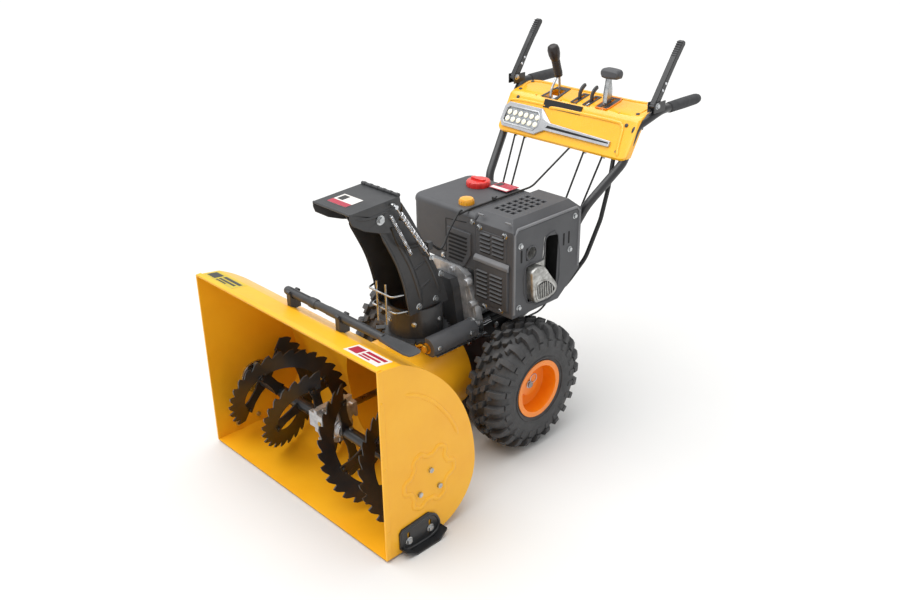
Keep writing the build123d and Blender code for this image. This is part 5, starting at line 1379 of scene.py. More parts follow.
    def _fuel_cap(self) -> None:
        """Red fuel cap with a fluted rim and a raised grip bar."""
        low, high = box("fuel_cap")
        centre = Vector(((low.x + high.x) / 2, (low.y + high.y) / 2, low.z))
        radius = (high.x - low.x) / 2
        height = high.z - low.z
        rings = []
        for along, size, flute in (
            (0.0, 0.86, 0.0), (0.12, 0.97, 0.5), (0.24, 1.0, 1.0), (0.62, 0.99, 1.0), (0.74, 0.95, 0.7),
            (0.80, 0.84, 0.0), (0.80, 0.62, 0.0),
        ):  # fmt: skip
            ring = []
            for i in range(96):
                angle = math.radians(i * 3.75)
                wave = 1 - 0.06 * flute * max(0.0, math.cos(12 * angle)) ** 3
                r = radius * size * wave
                ring.append(centre + Vector((r * math.cos(angle), r * math.sin(angle), height * along)))
            rings.append(ring)
        cap = Shape().skin(rings)
        reach = radius * 0.74
        outline = [(-reach, 0), (-reach * 0.9, 7), (0, 9.5), (reach * 0.9, 7), (reach, 0), (reach * 0.9, -7),
                   (0, -9.5), (-reach * 0.9, -7)]  # fmt: skip
        cap.prism([(centre.x + x, centre.y + y) for x, y in outline], "Z", low.z + height * 0.76, high.z)
        cap.piece("fuel_cap_body", "fuel_cap", RED_ABS, replaces=["fuel_cap"], bevel=1.6, smooth=34)

    def _oil_cap(self) -> None:
        """Amber cap with upright ribs round it."""
        low, high = box("oil_cap")
        centre = Vector(((low.x + high.x) / 2, (low.y + high.y) / 2, low.z))
        radius = (high.x - low.x) / 2
        height = high.z - low.z
        cap = Shape()
        profile = [(0, radius * 0.8), (height * 0.1, radius * 0.94), (height * 0.72, radius * 0.92),
                   (height * 0.92, radius * 0.82), (height, radius * 0.6)]  # fmt: skip
        cap.lathe(profile, centre, (0, 0, 1), 48)
        for i in range(16):
            a = math.radians(i * 22.5)
            spot = centre + Vector((radius * 0.93 * math.cos(a), radius * 0.93 * math.sin(a), height * 0.12))
            cap.rod(spot, spot + Vector((0, 0, height * 0.62)), 1.6, 1.2, 8)
        cap.piece("oil_cap_body", "oil_cap", AMBER_ABS, replaces=["oil_cap"], bevel=0.8)

    def _cover_front(self) -> None:
        """Louvres and panels pressed into the front of the muffler cover."""
        low, _ = box("muffler_cover")
        front = low.y
        panels = Shape()
        panels.block((108, front - 2.0, 552), (212, front + 1, 634))
        step = [(front + 1, 560), (front - 9, 548), (front - 9, 426), (front + 1, 412)]
        panels.prism(step, "X", 98, 222)
        panels.piece("cover_front_panels", "frame", GREY_ABS, bevel=3.0)
        ledge = [(front - 2, 562), (front - 12, 552), (front - 12, 543), (front - 4, 540)]
        Shape().prism(ledge, "X", 96, 226).piece("cover_front_ledge", "frame", PALE_GREY_ABS, bevel=2.5)
        # dark gathers near-black strips under the louvre hoods: painted shade in the slots.
        dark, hoods = Shape(), Shape()
        for x0, x1, bottom, count, face in (
            (116, 152, 570, 5, front - 2.0), (162, 202, 570, 5, front - 2.0),
            (110, 148, 436, 7, front - 9.0), (160, 204, 436, 7, front - 9.0),
        ):  # fmt: skip
            for i in range(count):
                z = bottom + i * 12.4
                dark.block((x0, face - 0.8, z), (x1, face + 0.5, z + 5.8))
                wedge = [(face + 0.5, z + 5.6), (face - self.louvre, z + 4.8), (face - self.louvre, z + 6.2),
                         (face + 0.5, z + 9.4)]  # fmt: skip
                hoods.prism(wedge, "X", x0 - 1, x1 + 1)
        dark.piece("cover_front_slot_shade", "frame", SHADE_AND_LINE_BLACK)
        hoods.piece("cover_front_louvres", "frame", GREY_ABS, bevel=0.6)
        bolts = Shape()
        for x, z in ((132, 408), (194, 416), (206, 640), (112, 640)):
            bolts.bolt((x, front - 1, z), (0, -1, 0), 4.0)
        bolts.piece("cover_front_bolts", "frame", ZINC_PLATE)

    def _cover_side(self) -> None:
        """Paler border, rims round the openings and the screws of the cover's side."""
        low, high = box("muffler_cover")
        face = high.x
        border = Shape()
        edge = [
            (low.y + 7, 412), (low.y + 7, high.z - 34), (low.y + 20, high.z - 20),
            (high.y - 22, high.z - 20), (high.y - 9, high.z - 34), (high.y - 9, 478),
        ]  # fmt: skip
        border.pipe([(face - 0.6, y, z) for y, z in edge], 4.2, 8)
        for corner in (low.x + 10, face - 30):
            border.rod((corner, low.y + 2, high.z - 3), (corner + 20, low.y + 2, high.z - 3), 3.0, sides=10)
        border.piece("cover_border", "frame", PALE_GREY_ABS, bevel=0.5)
        rims = Shape()
        hole = [(face + 0.4, -13 + 20 * math.cos(a), 577 + 20 * math.sin(a))
                for a in (math.radians(i * 15) for i in range(24))]  # fmt: skip
        rims.pipe(hole, 2.6, 8, closed=True)
        opening = [(-36, 542), (36, 543), (44, 604), (98, 598), (96, 424), (-26, 432)]
        rims.pipe(smooth_path([(face + 0.2, y, z) for y, z in opening], 3, closed=True), 2.2, 8, closed=True)
        rims.piece("cover_rims", "frame", GREY_ABS)
        screws = Shape()
        for y, z in ((low.y + 30, 610), (low.y + 26, 428), (high.y - 30, 636), (150, 540)):
            screws.bolt((face, y, z), (1, 0, 0), 3.8)
        screws.piece("cover_side_screws", "frame", ZINC_PLATE)
        # Near-black sheets inside the cover: painted shade behind its openings.
        core = Shape().block((low.x + 6, low.y + 6, 403), (face - 6, 104, 405))
        core.block((low.x + 6, 102, 403), (face - 6, 104, high.z - 34))
        core.block((low.x + 6, low.y + 6, 403), (low.x + 8, 104, high.z - 34))
        core.piece("cover_painted_shade_liner", "frame", SHADE_AND_LINE_BLACK)
        # Near-black strips in the side vents: painted shade in the openings.
        vents = Shape()
        for y in range(-56, 160, 22):
            if not -34 < y < 110:
                vents.block((face - 0.2, y, 560), (face + 1.0, y + 5, 596))
        vents.piece("cover_side_vent_shade", "frame", SHADE_AND_LINE_BLACK)

    def _outlet(self) -> None:
        """Rim and upright slats of the exhaust outlet."""
        _, high = box("muffler")
        face = high.x
        corners = [(-28, 500), (-24, 530), (14, 534), (44, 500), (74, 458), (56, 436), (4, 434), (-20, 442)]
        outline = smooth_path([(0, y, z) for y, z in corners], 5, closed=True)
        centre = Vector((0, 18, 480))

        def ring(x: float, size: float) -> list[Vector]:
            """Outline of the outlet at one place along it."""
            return [Vector((x, 0, 0)) + centre + (p - centre) * size for p in outline]

        face += 1.8
        sections = ((40, 1.0), (12, 1.05), (3, 1.03), (0, 0.97))
        scoop = Shape().skin([ring(face - depth, size) for depth, size in sections])
        scoop.piece("outlet_scoop", "frame", EXHAUST_STEEL, smooth=50)
        mouth = [(-14, 486), (26, 492), (62, 458), (50, 443), (4, 441), (-13, 448)]
        edge = smooth_path([(face + 0.4, y, z) for y, z in mouth], 5, closed=True)
        Shape().pipe(edge, 2.6, 8, closed=True).piece("outlet_rim", "frame", EXHAUST_STEEL)
        # Near-black plate filling the outlet's mouth: painted shade inside the outlet.
        inside = [[p + Vector((d, 0, 0)) for p in edge] for d in (-1.2, 0.0)]
        Shape().skin(inside).piece("outlet_inside_shade", "frame", SHADE_AND_LINE_BLACK)
        slats = Shape()
        for i in range(9):
            y = -9 + i * 7.6
            top = min(488, 486 + y * 0.1) if y < 28 else 491 - (y - 26) * 0.95
            slats.block((face - 0.8, y - 1.5, 442 + max(0, y - 48) * 1.2), (face + 1.4, y + 1.5, top))
        slats.piece("outlet_slats", "frame", EXHAUST_STEEL, bevel=0.4)

    def _recoil(self) -> None:
        """Painted shade in the vents, and the screws and hub of the recoil starter, and its rope."""
        low, high = box("recoil_starter")
        x, z = (low.x + high.x) / 2, (low.z + high.z) / 2
        # Near-black blades in the vent openings: painted shade.
        vents = Shape()
        for i in range(24):
            if i in (5, 6, 7):
                continue
            a = math.radians(i * 15)
            out = Vector((math.cos(a), 0, math.sin(a)))
            across = Vector((-math.sin(a), 0, math.cos(a)))
            foot = Vector((x, high.y - 0.4, z))
            ring = []
            for reach, wide in ((44, 2.0), (44, -2.0), (72, -3.2), (72, 3.2)):
                ring.append(foot + out * reach + across * wide)
            vents.skin([ring, [p + Vector((0, 1.2, 0)) for p in ring]])
        vents.piece("recoil_vent_shade", "frame", SHADE_AND_LINE_BLACK)
        hub = Shape().lathe([(0, 40), (2, 39), (4, 34), (4.5, 10)], (x, high.y - 0.5, z), (0, 1, 0), 48)
        hub.piece("recoil_hub", "frame", BLACK_POLYPROPYLENE)
        screws = Shape()
        for i in range(4):
            a = math.radians(45 + i * 90)
            screws.bolt((x + 83 * math.cos(a), high.y - 33, z + 83 * math.sin(a)), (0, 1, 0), 3.6)
        screws.piece("recoil_screws", "frame", ZINC_PLATE)
        handle_low, handle_high = box("recoil_handle")
        hx, hz = (handle_low.x + handle_high.x) / 2, (handle_low.z + handle_high.z) / 2
        ribs = Shape()
        for step in range(5):
            at = hx - 18 + step * 9
            ribs.lathe([(0, 10.2), (3, 10.2)], (at - 1.5, handle_high.y - 9, hz), (1, 0, 0), 20)
        ribs.piece("recoil_handle_ribs", "recoil_handle", BLACK_POLYPROPYLENE, bevel=0.6)
        line = [(hx, handle_low.y - 16 + i, hz) for i in range(0, 21, 2)]
        rope = Shape().pipe(line, 2.4, 10).piece("recoil_rope", None, DRIVE_RUBBER)
        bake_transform(rope)


# ---------------------------------------------------------------- handles
@dataclass
class Handles:
    """Handle tubes, grips, clutch levers and cables."""

    grip_radius: float = 16.0
    lever_length: float = 196.0

    def build(self) -> None:
        """Dress the tubes and build the grips and the clutch levers."""
        dress("handle_tubes", BLACK_POWDER_COAT)
        dress("lever_frame", BLACK_POWDER_COAT, 0.6)
        dress("clutch_brackets", BLACK_POWDER_COAT, 2.0)
        dress(("control_cables", "chute_flex_shaft"), CABLE_SHEATH)
        for side in (-1, 1):
            self._grip(side)
            self._clutch(side)
        self._tube_fittings()
        self._ferrules()

    def _grip(self, side: int) -> None:
        """Foam sleeve with a flange at its foot and a rounded end cap.

        Args:
            side: +1 for the machine's left.
        """
        low, high = box("hand_grips")
        x = side * (high.x - self.grip_radius)
        z = (low.z + high.z) / 2
        length = high.y - low.y
        r = self.grip_radius
        profile = [
            (0, r - 2), (1.5, r - 0.4), (6, r), (length * 0.5, r + 0.6), (length - 18, r),
            (length - 8, r - 1.4), (length - 3, r - 4.5), (length - 0.6, r - 9),
        ]  # fmt: skip
        sleeve = Shape().lathe(profile, (x, low.y, z), (0, 1, 0), 64)
        replaced = ["hand_grips"] if side > 0 else []
        sleeve.piece(f"foam_grip_{side_name(side)}", "frame", GRIP_FOAM, replaces=replaced, smooth=60)

    def _clutch(self, side: int) -> None:
        """Pressed channel lever with its rivets, return spring and ribbed head.

        Args:
            side: +1 for the machine's left.
        """
        name = side_name(side)
        body = f"clutch_lever_{name}"
        pivot = joint_at(f"clutch_{name}_squeeze")
        slope = Vector((0, 114, 157)).normalized()
        out = Vector((0, slope.z, -slope.y))

        def at(along: float, lift: float, x: float) -> Vector:
            """Point of the lever by its own axes."""
            return pivot + slope * along + out * lift + Vector((x, 0, 0))

        channel = Shape()
        web = [(-8, -9), (40, -10), (90, -11), (150, -12), (self.lever_length, -10)]
        rings = [[at(a, d, -9), at(a, d, 9), at(a, d + 2.2, 9), at(a, d + 2.2, -9)] for a, d in web]
        channel.skin(rings)
        for edge in (-1, 1):
            rings = []
            for a, d in web:
                depth = 20 if a < 60 else 17
                ring = [at(a, d, edge * 9), at(a, d + depth, edge * 9), at(a, d + depth, edge * 6.8)]
                rings.append([*ring, at(a, d, edge * 6.8)])
            channel.skin(rings)
        channel.lathe([(-8.8, 9.5), (8.8, 9.5)], pivot, (1, 0, 0), 32)
        channel.piece(f"{body}_channel", body, BLACK_POWDER_COAT, replaces=[body], bevel=0.8)
        head = Shape()
        for i in range(7):
            start = at(self.lever_length - 44 + i * 7, -11.5, -9)
            head.rod(start, start + Vector((18, 0, 0)), 1.9, sides=12)
        head.skin([
            [at(self.lever_length - 50, -11.4, -8.8), at(self.lever_length - 50, -11.4, 8.8),
             at(self.lever_length - 50, 6, 8.8), at(self.lever_length - 50, 6, -8.8)],
            [at(self.lever_length + 1, -10.4, -8.8), at(self.lever_length + 1, -10.4, 8.8),
             at(self.lever_length + 1, 7, 8.8), at(self.lever_length + 1, 7, -8.8)],
            [at(self.lever_length + 7, -5, -8), at(self.lever_length + 7, -5, 8),
             at(self.lever_length + 7, 4, 8), at(self.lever_length + 7, 4, -8)],
        ])  # fmt: skip
        head.piece(f"{body}_head", body, BLACK_POLYPROPYLENE, bevel=0.8)
        rivets = Shape()
        for along in (48, 70):
            for edge in (-1, 1):
                rivets.lathe([(0, 4.2), (1.0, 3.8), (1.6, 2.4)], at(along, -1, edge * 9), (edge, 0, 0), 20)
        spring = coil(at(44, 6, 0), at(78, 2, 0), 3.6, 10)
        rivets.pipe(spring, 0.8, 6)
        rivets.piece(f"{body}_rivets", body, CHROMED_WIRE)
        pin = Shape().bolt((pivot.x + 12.5, pivot.y, pivot.z), (1, 0, 0), 4)
        pin.bolt((pivot.x - 12.5, pivot.y, pivot.z), (-1, 0, 0), 4)
        pin.piece(f"{body}_pivot_bolt", "frame", ZINC_PLATE)

    def _tube_fittings(self) -> None:
        """Bolts that hold the handle tubes to the chassis and the brace."""
        _, high = box("handle_tubes")
        shape = Shape()
        for side in (-1, 1):
            for y, z in ((150, 300), (244, 520)):
                spot = surface_at("handle_tubes", (side * (high.x + 60), y, z), (-side, 0, 0))
                if abs(spot.x) < high.x + 10:
                    shape.bolt(spot, (side, 0, 0), 4)
        shape.piece("handle_bolts", "frame", ZINC_PLATE)

    def _ferrules(self) -> None:
        """Metal ends, each with a boot, where each cable leaves the console."""
        _, high = box("control_cables")
        shape = Shape()
        boot = [(0, 5), (10, 5), (11, 4), (26, 3.8)]
        for x in (-190, -150, 90, 160):
            shape.lathe(boot, (x, high.y - 2, high.z - 2), (0, -0.35, -1), 16)
        shape.piece("cable_ferrules", "frame", CHROMED_WIRE)
        shaft_low, _ = box("chute_flex_shaft")
        sleeve = Shape().rod((112.5, shaft_low.y - 4, 345.5), (112.5, shaft_low.y + 34, 346), 9.5, 8.0)
        sleeve.piece("flex_shaft_sleeve", "frame", CHROMED_WIRE, bevel=0.8)


# ---------------------------------------------------------------- console
@dataclass
class Console:
    """Yellow control panel with its lamp, levers and slots."""

    half: float = 253.0

    def build(self) -> None:
        """Make the body, its lamp and trims, and the levers that come through it."""
        low, high = box("console")
        self.low, self.high = low, high
        self.deck = Vector((0, low.y + 66, low.z + 119))
        self.face = Vector((0, low.y, low.z + 8))
        self._body()
        self._lamp()
        self._plate_and_slots()
        self._chute_lever()
        self._gear_lever()
        for name, x in (("deflector_lever", 0.0), ("throttle_lever", 46.0)):
            self._finger_lever(name, x)

    def _on_face(self, x: float, up: float, out: float = 0.0) -> Vector:
        """Point on the sloping front, by its distance up it and out of it."""
        run, rise = self.deck.y - self.face.y, self.deck.z - self.face.z
        length = math.hypot(run, rise)
        along = Vector((0, run, rise)) / length
        normal = Vector((0, -rise, run)) / length
        return self.face + Vector((x, 0, 0)) + along * up + normal * out

    def _on_deck(self, x: float, back: float, out: float = 0.0) -> Vector:
        """Point on the top, by its distance behind the front edge and out of it."""
        slope = Vector((0, 96, 22)).normalized()
        normal = Vector((0, -slope.z, slope.y))
        return self.deck + Vector((x, 0, 0)) + slope * back + normal * out

    def _body(self) -> None:
        """Rounded shell: full section in the middle, drawn in at both ends."""
        y, z = self.face.y, self.face.z
        front, deck_z = self.deck.y, self.deck.z
        section = [
            (y + 3, z - 6), (y + 0.8, z + 1), (y + 19.8, z + 32), (y + 44.8, z + 74),
            (front - 7.6, deck_z - 14), (front - 1, deck_z - 4), (front + 8, deck_z + 1.2),
            (front + 30, deck_z + 6.8), (front + 66, deck_z + 15),
            (front + 86, deck_z + 19.6), (front + 94, deck_z + 18), (front + 96, deck_z + 10),
            (front + 90, deck_z - 14), (front + 84, deck_z - 15), (front + 89, deck_z + 6),
            (front + 84, deck_z + 13),
            (front + 30, deck_z + 2.4), (front + 6, deck_z - 3.4), (front - 3, deck_z - 13), (y + 44, z + 72),
            (y + 20, z + 28), (y + 7, z + 2), (y + 6, z - 4),
        ]  # fmt: skip
        middle_y, middle_z = front + 8, deck_z - 26
        rings = []
        steps = ((0, 0.82), (1, 0.88), (3.5, 0.925), (8, 0.96), (15, 0.985), (25, 1.0), (133, 1.0))
        ends = [(self.half - inset, shrink) for inset, shrink in steps]
        for x, shrink in [(-a, b) for a, b in ends] + [(0, 1.0), *reversed(ends)]:
            rings.append([(x, middle_y + (a - middle_y) * shrink, middle_z + (b - middle_z) * shrink)
                          for a, b in section])  # fmt: skip
        shell = Shape().skin(rings)
        for side in (-1, 1):
            shell.prism(
                [(y + 9, z), (front - 4, deck_z - 8), (front + 84, deck_z + 12), (front + 82, deck_z - 10),
                 (front + 16, deck_z - 24), (y + 30, z)],
                "X", side * 249.0 - 2.0, side * 249.0 + 2.0,
            )  # fmt: skip
        for x0, x1, start, end in ((-120, -74, 3, 64), (-7, 7, 5, 64), (39, 53, 5, 64), (96, 112, 3, 76)):
            shell.cut(self._slit(x0, x1, start, end, 14))
        shell.piece("console_shell", "frame", YELLOW_ABS, replaces=["console"], bevel=1.2,
                    smooth=50)  # fmt: skip
        border = Shape()
        out = self._face_normal()
        line = [(-84, 100), (-30, 104), (170, 104), (196, 98), (206, 84), (214, 30), (222, 6)]
        border.bead(smooth_path([self._on_face(x, up, 0.2) for x, up in line], 6), out, 5.5, 3.2)
        line = [(-240, 24), (-242, 84), (-228, 102), (-120, 106), (-88, 102)]
        border.bead(smooth_path([self._on_face(x, up, 0.2) for x, up in line], 6), out, 4.5, 2.2)
        edge = [(-226, 10), (-226, 84), (-60, 86), (150, 86), (226, 84), (226, 10)]
        spots = [self._on_deck(x, back, 0.4) for x, back in edge]
        border.bead(smooth_path(spots, 6), self._deck_normal(), 4.5, 2.4)
        border.piece("console_raised_border", "frame", YELLOW_ABS)
        under = Shape()
        for x in (-150, -50, 60, 170):
            under.block((x - 2, front + 2, deck_z - 22), (x + 2, front + 84, deck_z + 2))
        under.piece("console_inner_ribs", "frame", YELLOW_ABS, bevel=0.4)
        screws = Shape()
        for x, back in ((-228, 18), (228, 18), (-228, 78), (228, 78)):
            screws.lathe(PAN_HEAD, self._on_deck(x, back, 0.6), self._deck_normal(), 24)
        for x, up in ((214, 20), (214, 100), (-214, 112)):
            spot = self._on_face(x, up, 0)
            screws.lathe(PAN_HEAD, spot, self._face_normal(), 24)
        screws.piece("console_screws", "frame", BLACK_POLYPROPYLENE)

    def _slit(self, x0: float, x1: float, start: float, end: float, reach: float) -> Shape:
        """Block that cuts a slit through the deck.

        Args:
            x0: One side of the slit.
            x1: Its other side.
            start: Its front end, behind the deck's front edge.
            end: Its rear end.
            reach: How far it goes above and below the deck.

        Returns:
            The block.
        """
        corners = ((x0, start), (x1, start), (x1, end), (x0, end))
        return Shape().skin([[self._on_deck(x, back, out) for x, back in corners] for out in (-reach, reach)])

    def _deck_normal(self) -> Vector:
        """Direction that stands straight up from the deck."""
        return self._on_deck(0, 0, 1) - self._on_deck(0, 0, 0)

    def _face_normal(self) -> Vector:
        """Direction that stands straight out of the sloping front."""
        return self._on_face(0, 0, 1) - self._on_face(0, 0, 0)

    def _lamp(self) -> None:
        """Silver bezel with a raised rim, and the lens over two rows of beads."""
        dress("headlight_bezel", SILVER_LACQUER, 2.2)
        dress("headlight_lens", CLEAR_POLYCARBONATE, 1.0)
        opening = [
            (-234, 32), (-224, 22), (-104, 20), (-92, 34), (-92, 62), (-106, 78), (-224, 78), (-234, 68),
        ]  # fmt: skip
        rim = Shape()
        rim.pipe([self._on_face(x, up, 7) for x, up in opening], 2.4, 10, closed=True)
        rim.piece("lamp_rim", "frame", SILVER_LACQUER)
        back = Shape().skin([[self._on_face(x, up, out) for x, up in opening] for out in (0.4, 1.2)])
        back.piece("lamp_reflector", "frame", SILVER_LACQUER)
        beads = Shape()
        for row in (38, 60):
            for i in range(6):
                spot = self._on_face(-220 + i * 23, row, 5.0)
                out = self._face_normal()
                beads.lathe([(0, 8.6), (0.8, 8.2), (1.6, 6.4), (2.2, 3.0)], spot, out, 24)
        beads.piece("lamp_beads", "frame", LAMP_BEAD)
        stripe = [(-60, 36), (180, 34), (180, 38), (-54, 44)]
        line = Shape().skin([[self._on_face(x, up, out) for x, up in stripe] for out in (6.9, 7.5)])
        line.piece("bezel_stripe", "frame", SHADE_AND_LINE_BLACK)

    def _plate_and_slots(self) -> None:
        """Blank black name plate, slot trims and the gear gate's orange border."""
        corners = ((-104, 98), (43, 98), (43, 124), (-104, 124))
        front = [self._on_face(x, up, 1.5 + (up - 98) * 0.12) for x, up in corners]
        plate = Shape().skin([front, [p + Vector((0, 5, -2)) for p in front]])
        plate.piece("console_name_plate", "frame", BLACK_VINYL, bevel=0.8)
        gate = [(84, 4), (124, 4), (128, 14), (128, 70), (122, 82), (88, 82), (82, 70), (82, 14)]
        border = Shape().pipe([self._on_deck(x, back, 1.6) for x, back in gate], 2.2, 8, closed=True)
        border.piece("gear_gate_border", "frame", ORANGE_POWDER_COAT)
        plates = Shape()
        for corners in (
            [(-128, 2), (-62, 2), (-70, 78), (-122, 78)], [(-12, 3), (12, 3), (12, 70), (-12, 70)],
            [(34, 3), (58, 3), (58, 70), (34, 70)], [(84, 4), (124, 4), (126, 82), (84, 82)],
        ):  # fmt: skip
            plates.skin([[self._on_deck(x, back, out) for x, back in corners] for out in (0.2, 1.8)])
        slits = ((-119, -75, 4, 62), (-5.5, 5.5, 6, 62), (40.5, 51.5, 6, 62), (98, 110, 4, 74))
        for x0, x1, start, end in slits:
            plates.cut(self._slit(x0, x1, start, end, 6))
        plates.piece("slot_plates", "frame", BLACK_POLYPROPYLENE, bevel=0.4)
        slots = Shape()
        for i in range(5):
            back = 12 + i * 11
            for x0, x1 in ((-124.5, -120.5), (-73.5, -69.5)):
                corners = [(x0, back), (x1, back), (x1, back + 5), (x0, back + 5)]
                slots.skin([[self._on_deck(x, b, out) for x, b in corners] for out in (1.7, 2.3)])
        slots.piece("chute_gate_slots", "frame", PALE_GREY_ABS)

    def _chute_lever(self) -> None:
        """Bent wire stalk and the ribbed grip that swells towards its end."""
        pivot = joint_at("chute_lever_tilt")
        x, deck = -97.0, self.deck
        stalk = Shape()
        for way in (-1, 1):
            path = [(x, pivot.y + way * 22, pivot.z), (x, pivot.y + way * 20, deck.z + 20),
                    (x + way * 3, deck.y + 47, deck.z + 64)]  # fmt: skip
            stalk.pipe(smooth_path(path, 6), 4, 12)
        stalk.rod((x, pivot.y - 36, pivot.z), (x, pivot.y + 36, pivot.z), 5)
        stalk.piece("chute_lever_stalk", "chute_lever", ZINC_PLATE, replaces=["chute_lever"])
        foot = Vector((x, deck.y + 48, deck.z + 59))
        tip = Vector((x, deck.y + 13, deck.z + 160))
        length = (tip - foot).length
        profile = [(0, 8), (2, 12.4)]
        for i in range(8):
            start = 8 + i * 6
            profile += [(start, 12.6), (start + 2.2, 13.4), (start + 3.8, 13.4), (start + 5.4, 12.4)]
        profile += [(length * 0.6, 15.6), (length * 0.72, 18.2), (length * 0.86, 18.6), (length * 0.95, 16),
                    (length * 0.99, 10)]  # fmt: skip
        grip = Shape().lathe(profile, foot, tip - foot, 48)
        grip.piece("chute_lever_grip", "chute_lever", BROWN_NYLON, smooth=50)

    def _gear_lever(self) -> None:
        """Flat steel arm and its dark knob."""
        pivot = joint_at("gear_lever_tilt")
        x, deck = 104.0, self.deck
        arm = Shape()
        outline = [(pivot.y - 8, pivot.z), (pivot.y - 19, deck.z + 16), (pivot.y - 18, deck.z + 44),
                   (pivot.y - 9, deck.z + 92), (pivot.y + 11, deck.z + 92), (pivot.y + 19, deck.z + 50),
                   (pivot.y + 19, deck.z + 22), (pivot.y + 8, pivot.z)]  # fmt: skip
        arm.prism(outline, "X", x - 3, x + 3)
        arm.prism([(a, b) for a, b in outline if b > deck.z + 14 and a < pivot.y], "X", x - 3, x + 12)
        arm.lathe([(-4.4, 9), (4.4, 9)], pivot, (1, 0, 0), 32)
        arm.piece("gear_lever_arm", "gear_lever", ZINC_PLATE, replaces=["gear_lever"], bevel=0.8)
        rings = []
        for at, inset in ((-21, 5), (-17, 1), (-6, 0), (16, 0), (36, 1.5), (41, 4), (44, 9)):
            y0, y1 = pivot.y - 18 + inset, pivot.y + 20 - inset
            z0, z1 = deck.z + 86 + inset, deck.z + 116 - inset * 0.9
            outline = [
                (y0 + 7, z0), (y1 - 6, z0), (y1, z0 + 7), (y1, z1 - 6),
                (y1 - 6, z1), (y0 + 7, z1), (y0, z1 - 6), (y0, z0 + 7),
            ]  # fmt: skip
            rings.append([(x + at, y, z) for y, z in outline])
        knob = Shape().skin(rings)
        knob.piece("gear_lever_knob", "gear_lever", GREY_ABS, bevel=1.4, subdivide=1, smooth=60)

    def _finger_lever(self, name: str, x: float) -> None:
        """Curved blade lever with a thumb pad.

        Args:
            name: Body and CAD node of the lever.
            x: Its place across the deck.
        """
        pivot = joint_at("throttle_tilt") if name == "throttle_lever" else joint_at("deflector_lever_tilt")
        y, deck = pivot.y, self.deck
        blade = Shape()
        spine = [(0, -22, 5.5), (0, 10, 5.2), (-1, 24, 5.6), (6, 36, 6.2), (16, 43, 6.4), (26, 47, 5.0)]
        rings = []
        for i, (dy, dz, half) in enumerate(spine):
            a = spine[max(i - 1, 0)]
            b = spine[min(i + 1, len(spine) - 1)]
            way = Vector((0, b[0] - a[0], b[1] - a[1])).normalized()
            across = Vector((0, way.z, -way.y))
            base = Vector((x, y + dy, deck.z + dz))
            front, rear, wide = base + across * half, base - across * half, Vector((3.6, 0, 0))
            rings.append([front - wide, front + wide, rear + wide, rear - wide])
        blade.skin(rings)
        blade.lathe([(-4.4, 9), (4.4, 9)], pivot + Vector((x - pivot.x, 0, 0)), (1, 0, 0), 32)
        blade.piece(f"{name}_blade", name, BLACK_POLYPROPYLENE, replaces=[name], bevel=1.2,
                    subdivide=1, smooth=60)  # fmt: skip


# ---------------------------------------------------------------- clean-out tool
@dataclass
class Tool:
    """Snow clean-out stick that rides in two clips on the roof."""

    radius: float = 12.0

    def build(self) -> None:
        """Make the moulded stick and dress its clips."""
        dress("tool_clips", BLACK_POLYPROPYLENE, 1.5)
        low, high = box("clean_out_tool")
        y = (low.y + high.y) / 2
        z = low.z + self.radius if high.z - low.z > 2 * self.radius else (low.z + high.z) / 2
        start = low.x
        r = self.radius
        profile = [
            (0, 5), (1.5, 9), (5, r - 1), (12, r - 0.4), (105, r - 0.4), (106, r + 1.2), (112, r + 1.6),
            (128, r + 1.6), (131, r + 0.4), (132, r - 1.6), (176, r - 1.2), (178, r - 0.3),
            (270, r - 0.3), (310, r - 0.8), (368, r - 2), (384, r - 3),
        ]  # fmt: skip
        stick = Shape().lathe(profile, (start, y, z), (1, 0, 0), 40)
        for lift in (-1, 1):
            crest = z + lift * (r + 0.2)
            stick.block((start + 20, y - 1.6, crest - 1), (start + 100, y + 1.6, crest + 1))
        tip = []
        for x, half, thick in ((376, 9, 7), (392, 13, 4.6), (430, 18, 3.4), (476, 21, 2.6), (492, 18, 2.0),
                               (497, 10, 1.4)):  # fmt: skip
            tip.append([(start + x, y - half, z - thick), (start + x, y + half, z - thick),
                        (start + x, y + half, z + thick), (start + x, y - half, z + thick)])  # fmt: skip
        stick.skin(tip)
        stick.piece("clean_out_stick", "clean_out_tool", BLACK_POLYPROPYLENE,
                    replaces=["clean_out_tool"], bevel=0.8)  # fmt: skip
        straps = Shape()
        for x in (-60, 140):
            clip_low, clip_high = box("tool_clips")
            straps.lathe([(-6, 4.4), (6, 4.4)], (x, clip_low.y + 2, clip_high.z - 1), (1, 0, 0), 20)
            straps.lathe([(-6, 4.4), (6, 4.4)], (x, clip_high.y - 2, clip_high.z - 1), (1, 0, 0), 20)
        straps.piece("tool_clip_lips", "frame", BLACK_POLYPROPYLENE)


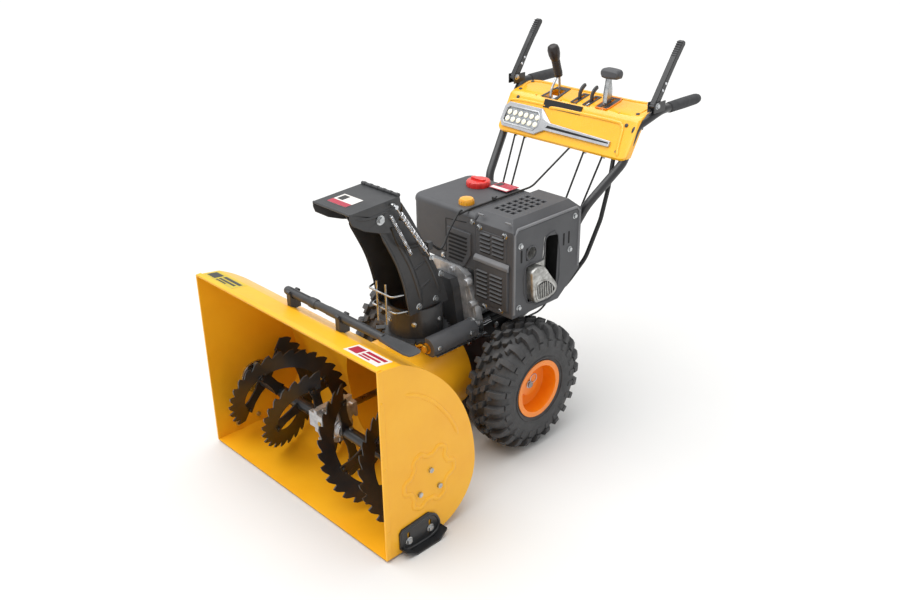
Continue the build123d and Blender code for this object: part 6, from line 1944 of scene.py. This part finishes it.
# ---------------------------------------------------------------- studio
@dataclass
class Studio:
    """Pale floor, soft lamps and the camera."""

    focal: float = 39.3
    eye: tuple[float, float, float] = (1.8606, -1.8759, 1.6192)
    azimuth: float = 46.3
    drop: float = 25.6
    roll: float = -0.9
    overhead: float = 2.5
    overhead_spread: float = 70.0
    surroundings: float = 0.76
    aim_height: float = 0.45
    floor_half_mm: float = 40000.0

    def build(self) -> None:
        """Set the stage."""
        half = self.floor_half_mm
        paper = Shape().block((-half, -half, -20), (half, half, 0))
        floor = paper.piece("studio_floor", None, PALE_PAPER)
        self._lamp("key", (-0.2, -3.6, 3.4), 3.0, 26)
        self._lamp("back", (-0.6, 3.6, 3.2), 3.2, 16)
        sky = bpy.data.lights.new("overhead_panel", "SUN")
        sky.energy = self.overhead
        sky.angle = math.radians(self.overhead_spread)
        overhead = bpy.data.objects.new("overhead_panel", sky)
        overhead.rotation_euler = (math.radians(10), math.radians(-12), 0)
        bpy.context.scene.collection.objects.link(overhead)
        world = bpy.data.worlds.new("pale_surroundings")
        world.use_nodes = True
        background = world.node_tree.nodes["Background"]
        background.inputs["Color"].default_value = linear("#FFFFFF")
        background.inputs["Strength"].default_value = self.surroundings
        bpy.context.scene.world = world
        bpy.context.scene.view_settings.view_transform = "Standard"
        bpy.context.scene.view_settings.exposure = 0.0
        self._camera()

    def _lamp(self, name: str, place: Point, size: float, watts: float) -> None:
        """Add one large square lamp that faces the machine.

        Args:
            name: Name of the lamp.
            place: Where it stands, in metres.
            size: Length of its side in metres.
            watts: Its power.
        """
        data = bpy.data.lights.new(name, "AREA")
        data.size = size
        data.energy = watts
        lamp = bpy.data.objects.new(name, data)
        lamp.location = place
        aim = Vector((0, 0, self.aim_height)) - Vector(place)
        lamp.rotation_euler = aim.to_track_quat("-Z", "Y").to_euler()
        bpy.context.scene.collection.objects.link(lamp)

    def _camera(self) -> None:
        """Add the camera."""
        data = bpy.data.cameras.new("camera")
        data.lens = self.focal
        data.sensor_width = 36.0
        data.clip_end = 100.0
        camera = bpy.data.objects.new("camera", data)
        turn = Matrix.Rotation(math.radians(self.azimuth), 4, "Z")
        tilt = Matrix.Rotation(math.radians(90 - self.drop), 4, "X")
        bank = Matrix.Rotation(math.radians(self.roll), 4, "Z")
        camera.matrix_world = Matrix.Translation(self.eye) @ turn @ tilt @ bank
        bpy.context.scene.collection.objects.link(camera)
        bpy.context.scene.camera = camera


def main() -> None:
    """Build every sub-assembly in order."""
    logging.basicConfig(level=logging.INFO, format="%(name)s: %(message)s")
    parts = [Studio(), Intake(), Auger(-1), Auger(1), Gearbox(), Chute(), Drive(), Wheel(-1), Wheel(1)]
    parts += [Engine(), Handles(), Console(), Tool()]
    for part in parts:
        part.build()
        log.info("built %s", part)


if __name__ == "__main__":
    main()
